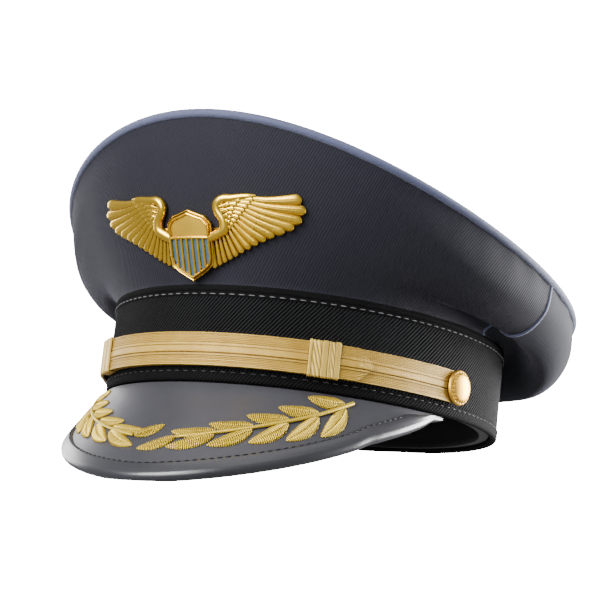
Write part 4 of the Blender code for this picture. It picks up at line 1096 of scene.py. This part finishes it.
def makeButton(name, node, side):
    # turned: shank, flat back, rolled edge, a dome of height dome (1 - r^2)^0.72 with a ring of pits,
    # each exp(-(distance / 0.42)^2) deep
    angle = side * strap["button"]
    root = place(angle, 0.0, strap["height"])
    across = unit(place(angle + 0.05, 0.0, strap["height"]) - place(angle - 0.05, 0.0, strap["height"]))
    upward = unit(place(angle, 0.0, strap["height"] + 1.0) - root)
    outward = unit(np.cross(across, upward))
    if (outward * (place(angle, 1.0, strap["height"]) - root)).sum() < 0.0:
        outward = -outward
    seat, edge, radius = (button[key] for key in ("seat", "edge", "radius"))
    shank = [(0.0, -5.7), (1.3, -5.7), (1.3, -1.0), (1.3, seat - 0.2), (1.8, seat), (6.9, seat),
             (7.45, seat + 0.15), (7.78, seat + 0.5), (7.8, seat + 0.8), (7.7, seat + 1.1)]
    r = np.sin(0.5 * np.pi * np.linspace(1.0, 0.0, 44))
    dome = np.stack([radius * 0.97 * r, seat + edge + button["dome"] * (1.0 - r ** 2) ** 0.72 * 0.92], 1)
    profile = np.concatenate([np.array(shank), dome[1:]])[:, None]
    turn = np.linspace(0.0, 2.0 * np.pi, 265)[None]
    cell = (turn / (2.0 * np.pi) * button["dots"] + 0.5) % 1.0 - 0.5
    aside = cell * 2.0 * np.pi / button["dots"] * button["dotRing"] * radius
    away = profile[..., 0] - button["dotRing"] * radius
    onDome = profile[..., 1] > seat + edge
    pit = button["dotDepth"] * np.exp(-(aside ** 2 + away ** 2) / 0.42 ** 2) * onDome
    line = 0.10 * np.exp(-((profile[..., 0] - 0.9 * radius) / 0.16) ** 2) * onDome
    high = profile[..., 1] - pit - line
    spoke = np.cos(turn)[..., None] * across + np.sin(turn)[..., None] * upward
    points = root + mm * (profile[..., 0:1] * spoke + high[..., None] * outward)
    makePiece(name, [skin(points)], buttonGilt, (node,), node, 40.0)
    return root, outward


bore = {"radius": 1.55, "depth": 9.2, "behind": 2.0, "sides": 28}


def boreFor(piece, shanks):
    # the piece less a cylinder about each shank, 0.25 mm clear of it all round
    for root, outward in shanks:
        form = bmesh.new()
        turned = Vector(outward).to_track_quat("Z", "Y").to_matrix().to_4x4()
        bmesh.ops.create_cone(form, cap_ends=True, segments=bore["sides"], radius1=bore["radius"] * mm,
                              radius2=bore["radius"] * mm, depth=bore["depth"] * mm,
                              matrix=Matrix.Translation(root - mm * bore["behind"] * outward) @ turned)
        mesh = bpy.data.meshes.new("drill")
        form.to_mesh(mesh)
        form.free()
        drill = newObject("drill", mesh)
        cut = piece.modifiers.new("bore", "BOOLEAN")
        cut.operation, cut.solver, cut.object = "DIFFERENCE", "EXACT", drill
        solid = piece.data
        bpy.context.view_layer.update()
        ready = piece.evaluated_get(bpy.context.evaluated_depsgraph_get())
        piece.data = bpy.data.meshes.new_from_object(ready)
        piece.modifiers.clear()
        bpy.data.objects.remove(drill)
        bpy.data.meshes.remove(mesh)
        bpy.data.meshes.remove(solid)


makeStrap()
shanks = []
for side, word in ((1, "left"), (-1, "right")):
    makeSlide("slide_braid_" + word, "slide_" + word, side)
    shanks.append(makeButton("button_dome_" + word, "button_" + word, side))
boreFor(bpy.data.objects["band_braid_cover"], shanks)
print("strap, slides and buttons made")

# badge; (across, up) in mm from the front line and the band's top, on the crown's front wall

badge = {"perDegree": 1.8,
         "neck": ((9.6, 18.6), (13.2, 20.4), (17.0, 22.9), (16.9, 27.0), (14.4, 30.6), (14.2, 33.4),
                  (16.6, 35.6), (21.0, 36.4), (26.0, 37.6), (31.4, 38.6)),
         "neckWidth": (2.0, 2.3, 2.45, 2.3, 2.15, 2.1, 1.85, 1.55, 1.3, 0.95),
         # where the flight feathers leave and end, from the uppermost to the one beside the shield
         "roots": ((29.6, 37.0), (26.4, 32.8), (23.8, 29.0), (21.0, 24.6), (17.0, 20.6), (13.6, 18.8),
                   (11.0, 18.2)),
         "tips": ((50.2, 41.0), (52.4, 35.4), (48.8, 28.0), (38.4, 21.2), (28.0, 14.8), (19.0, 9.8),
                  (11.4, 6.4)),
         "inner": ((30.0, 38.2), (23.5, 37.0), (17.2, 34.6), (15.6, 31.0), (17.4, 27.4), (17.0, 23.6),
                   (11.0, 21.6)),
         "flights": 15,
         # rows of short feathers over them: how many, where along inner they start, how far out they reach
         "coverts": ((14, 0.30, 1.14), (11, 0.42, 0.66), (8, 0.5, 0.34))}


def onBadge(across, up, lift):
    # angle = across / perDegree, share of the wall = up / the rise in front
    across, up, lift = np.broadcast_arrays(across, up, lift)
    share = up / sum(crown["rise"])
    angle = across / badge["perDegree"]
    return place(angle, *frontWall(angle, share, lift))


def along(knots, count):
    # even points along a smooth curve through the knots
    curve = threadThrough(np.array(knots), 24)
    run = runOf(curve)
    even = np.linspace(0.0, run[-1], count)
    return np.stack([np.interp(even, run, curve[:, i]) for i in range(2)], -1)


def feathers(roots, tips, widths, base, thick, sag, side):
    # width (0.5 + 0.5 s), rounded off as (1 - end^2)^0.5 at the tip; a dome (1 - |v|^1.9)^0.75 with a
    # line for the shaft
    rounding = 0.8 + 0.2 * np.sin(0.5 * np.pi * np.linspace(0.1, 1.0, 9))
    s = np.concatenate([np.linspace(0.0, 0.8, 12), rounding])[None, :, None]
    v = np.concatenate([np.linspace(-1.0, 1.0, 13), [1.0, -1.0, -1.0]])[None, None]
    top = np.concatenate([np.ones(13), np.zeros(2), [1.0]])[None, None]
    reach = tips - roots
    length = np.linalg.norm(reach, axis=1)[:, None, None]
    ahead = unit(reach)[:, None, None]
    beside = turnedLeft(ahead)
    tipLength = np.minimum(0.30, 0.5 * widths[:, None, None] / length)
    end = np.clip((s - 1.0 + tipLength) / tipLength, 0.0, 1.0)
    half = 0.5 * widths[:, None, None] * (0.5 + 0.5 * s) * np.sqrt(1.0 - end ** 2)
    sagging = -sag[:, None, None] * length * np.sin(np.pi * s ** 0.8)
    flat = roots[:, None, None] + ahead * (s * length)[..., None] + beside * (half * v + sagging)[..., None]
    full = np.clip(half * 2.2 / widths[:, None, None], 0.0, 1.0) ** 0.5
    crowned = (1.0 - np.abs(v) ** 1.9) ** 0.75 * full
    shaft = -0.16 * np.exp(-((v - 0.1) / 0.12) ** 2)
    lift = base + top * (0.25 + thick * crowned + 0.18 * v + shaft)
    return skin(onBadge(side * flat[..., 0], flat[..., 1], lift))


def makeWing(side):
    # long feathers, rows of short ones over them, a backing and a round leading edge
    flights = badge["flights"]
    roots = along(badge["roots"], flights)
    tipCurve = along(badge["tips"], 200)
    # tips are a little closer together beside the shield than at the wing's end
    share = np.linspace(0.0, 1.0, flights)
    tips = tipCurve[((share + 0.09 * np.sin(np.pi * share)) * 199).astype(int)]
    widths = np.linalg.norm(np.gradient(tips, axis=0), axis=1) * 1.16
    bend = np.linspace(0.055, 0.0, flights)
    parts = [feathers(roots, tips, widths, 1.0, 1.4, bend, side)]
    innerCurve, outerCurve = along(badge["inner"], 200), along(badge["roots"], 200)
    for row, (count, first, reach) in enumerate(badge["coverts"]):
        q = np.linspace(0.02, 0.98, count)
        start = innerCurve[((first + (1.0 - first) * q) * 199).astype(int)]
        end = start + (outerCurve[(q * 199).astype(int)] - start) * reach
        wide = np.linalg.norm(np.gradient(end, axis=0), axis=1) * 1.25
        parts.append(feathers(start, end, np.clip(wide, 1.3, 2.8), 1.75 + 0.4 * row, 0.7,
                              np.full(count, 0.03), side))
    # a backing that closes the gaps between the feathers
    rows = 48
    inner, tipsFine = along(badge["inner"], rows), along(badge["tips"], rows)
    share = np.concatenate([np.linspace(-0.08, 0.93, 9), np.linspace(0.93, -0.08, 3)])[None, :, None]
    lift = np.concatenate([np.full(9, 1.3), np.full(3, 0.3)])
    flat = closed(inner[:, None] + (tipsFine - inner)[:, None] * share)
    parts.append(skin(onBadge(side * flat[..., 0], flat[..., 1], np.append(lift, lift[0])), True))
    # the wing's leading edge: a thick round neck that thins to the wrist
    line = along(badge["neck"], 70)
    knots = np.linspace(0.0, 1.0, len(badge["neckWidth"]))
    width = np.interp(np.linspace(0.0, 1.0, 70), knots, badge["neckWidth"])
    width = width * np.minimum(1.0, 0.35 + 9.0 * np.linspace(1.0, 0.0, 70)) ** 0.5
    turn = np.linspace(0.0, 2.0 * np.pi, 21)[None, :, None]
    flat = line[:, None] + leftNormals(line)[:, None] * (width[:, None, None] * np.cos(turn))
    lift = 1.8 + (width[:, None] * 0.98) * np.sin(turn[..., 0]).clip(-0.5, 1.0)
    parts.append(skin(onBadge(side * flat[..., 0], flat[..., 1], lift), True))
    return parts


shield = {"outline": ((0.0, 31.0), (4.4, 29.5), (8.4, 28.4), (10.0, 26.9), (11.5, 25.2), (11.5, 19.0),
                      (11.5, 11.0), (10.4, 7.6), (7.4, 5.2), (3.7, 3.2), (0.0, 1.2)),
          "chief": 19.4, "rib": 1.25, "ribs": (1.42, 4.26, 7.1), "margin": 2.0,
          "back": 1.6, "fieldFace": 3.1, "enamelFace": 2.9}


def onShield(across, up, lift):
    # across (radius at the chief / radius here): sides stay parallel where the wall narrows
    level = frontWall(0.0, shield["chief"] / sum(crown["rise"]))[0] + halfWidth
    wall = frontWall(0.0, up / sum(crown["rise"]))[0] + halfWidth
    return onBadge(across * level / wall, up, lift)


def shieldEdge(samples=14):
    # both halves of the outline as one closed curve, its corners eased by averaging
    right = np.array(shield["outline"])
    knots = np.concatenate([right, (right * np.array([-1.0, 1.0]))[-2:0:-1]])
    share = np.linspace(0.0, 1.0, samples, endpoint=False)[:, None]
    edge = (knots[:, None] + (np.roll(knots, -1, 0) - knots)[:, None] * share).reshape(-1, 2)
    for _ in range(5):
        edge = 0.5 * edge + 0.25 * (np.roll(edge, 1, 0) + np.roll(edge, -1, 0))
    return edge


def makeShield():
    # a border carried round the outline, two fields inside it, upright bars and one across
    edge = shieldEdge()
    inward = turnedLeft(unit(np.roll(edge, -1, 0) - np.roll(edge, 1, 0)))
    if (inward * (edge - edge.mean(0))).sum() > 0.0:
        inward = -inward
    # two raised ridges round the edge
    border = np.array([(0.0, 1.4), (0.0, 2.8), (0.12, 3.15), (0.4, 3.3), (0.68, 3.15), (0.85, 2.95),
                       (1.0, 3.1), (1.12, 3.75), (1.35, 4.05), (1.65, 4.1), (1.9, 3.85), (2.05, 3.2),
                       (2.05, 2.2), (1.0, 1.6)])
    flat = edge[:, None] + inward[:, None] * border[None, :, :1]
    ring = onShield(flat[..., 0], flat[..., 1], border[None, :, 1])
    ring = np.concatenate([closed(ring), closed(ring)[:1]], 0)
    parts = [skin(ring)]
    inside = edge + inward * shield["margin"]
    right = inside[inside[:, 0] >= -0.2]
    top = right[right[:, 1] > shield["chief"]]
    bottom = right[right[:, 1] <= shield["chief"]]
    most = inside[:, 0].max()

    def strip(across, up, lift):
        # a capped strip of the plate, each of its rows closed on itself
        points = onShield(*np.broadcast_arrays(across, up, lift))
        return skin(np.concatenate([points, points[:, :1]], 1), True)

    def rimAt(across, half):
        # the height of one half of the inner outline, so far from the middle
        half = half[np.argsort(half[:, 0])]
        return np.interp(np.abs(across), half[:, 0], half[:, 1])

    def plate(low, high, face):
        # low + (high - low) share up the face, and back down behind it
        share = np.concatenate([np.linspace(0.0, 1.0, 17), np.linspace(1.0, 0.0, 3)])
        lift = np.repeat([face, shield["back"]], [17, 3])
        return strip(fieldAcross, low + (high - low) * share, lift)

    fieldAcross = np.linspace(-most, most, 61)[:, None]
    level = np.full_like(fieldAcross, shield["chief"])
    makePiece("badge_field", [plate(level, rimAt(fieldAcross, top), shield["fieldFace"])], stippledGilt)
    makePiece("badge_enamel_field", [plate(rimAt(fieldAcross, bottom), level, shield["enamelFace"])],
              badgeEnamel, ("badge_enamel",))
    # ribs and the bar over them: half round sections
    turn = np.linspace(0.0, np.pi, 9)
    section = np.concatenate([np.cos(turn), [-1.0, 1.0]])
    lift = np.concatenate([3.0 + 0.75 * np.sin(turn), [2.7, 2.7]])
    for x in [sign * rib for rib in shield["ribs"] for sign in (-1.0, 1.0)]:
        up = np.linspace(float(rimAt(x, bottom)) - 0.4, shield["chief"], 9)[:, None]
        parts.append(strip(x + 0.5 * shield["rib"] * section, up, lift))
    across = np.linspace(-most - 0.2, most + 0.2, 41)[:, None]
    parts.append(strip(across, shield["chief"] + 0.65 * section, lift + 0.05))
    makePiece("badge_shield_frame", parts, badgeGilt, ("badge_shield",), sharp=50.0)


makePiece("badge_feathers", makeWing(1) + makeWing(-1), badgeGilt, ("badge_wings",),
          sharp=55.0)
makeShield()
print("badge made")

# CAD pieces that keep their own shape: stiffeners and fixings
kept = {"band_frame": fibreBoard, "visor_core": fibreBoard, "front_stay": fibreBoard,
        "hoop_wire": springSteel}
for word in ("left", "right"):
    kept.update({"button_washer_" + word: springSteel, "button_clip_" + word: springSteel,
                 "badge_post_" + word: fixingBrass, "badge_nut_" + word: fixingBrass})
for name, material in kept.items():
    slots = frame["nodes"][name].data.materials
    slots.clear()
    slots.append(material)
print("CAD pieces finished")
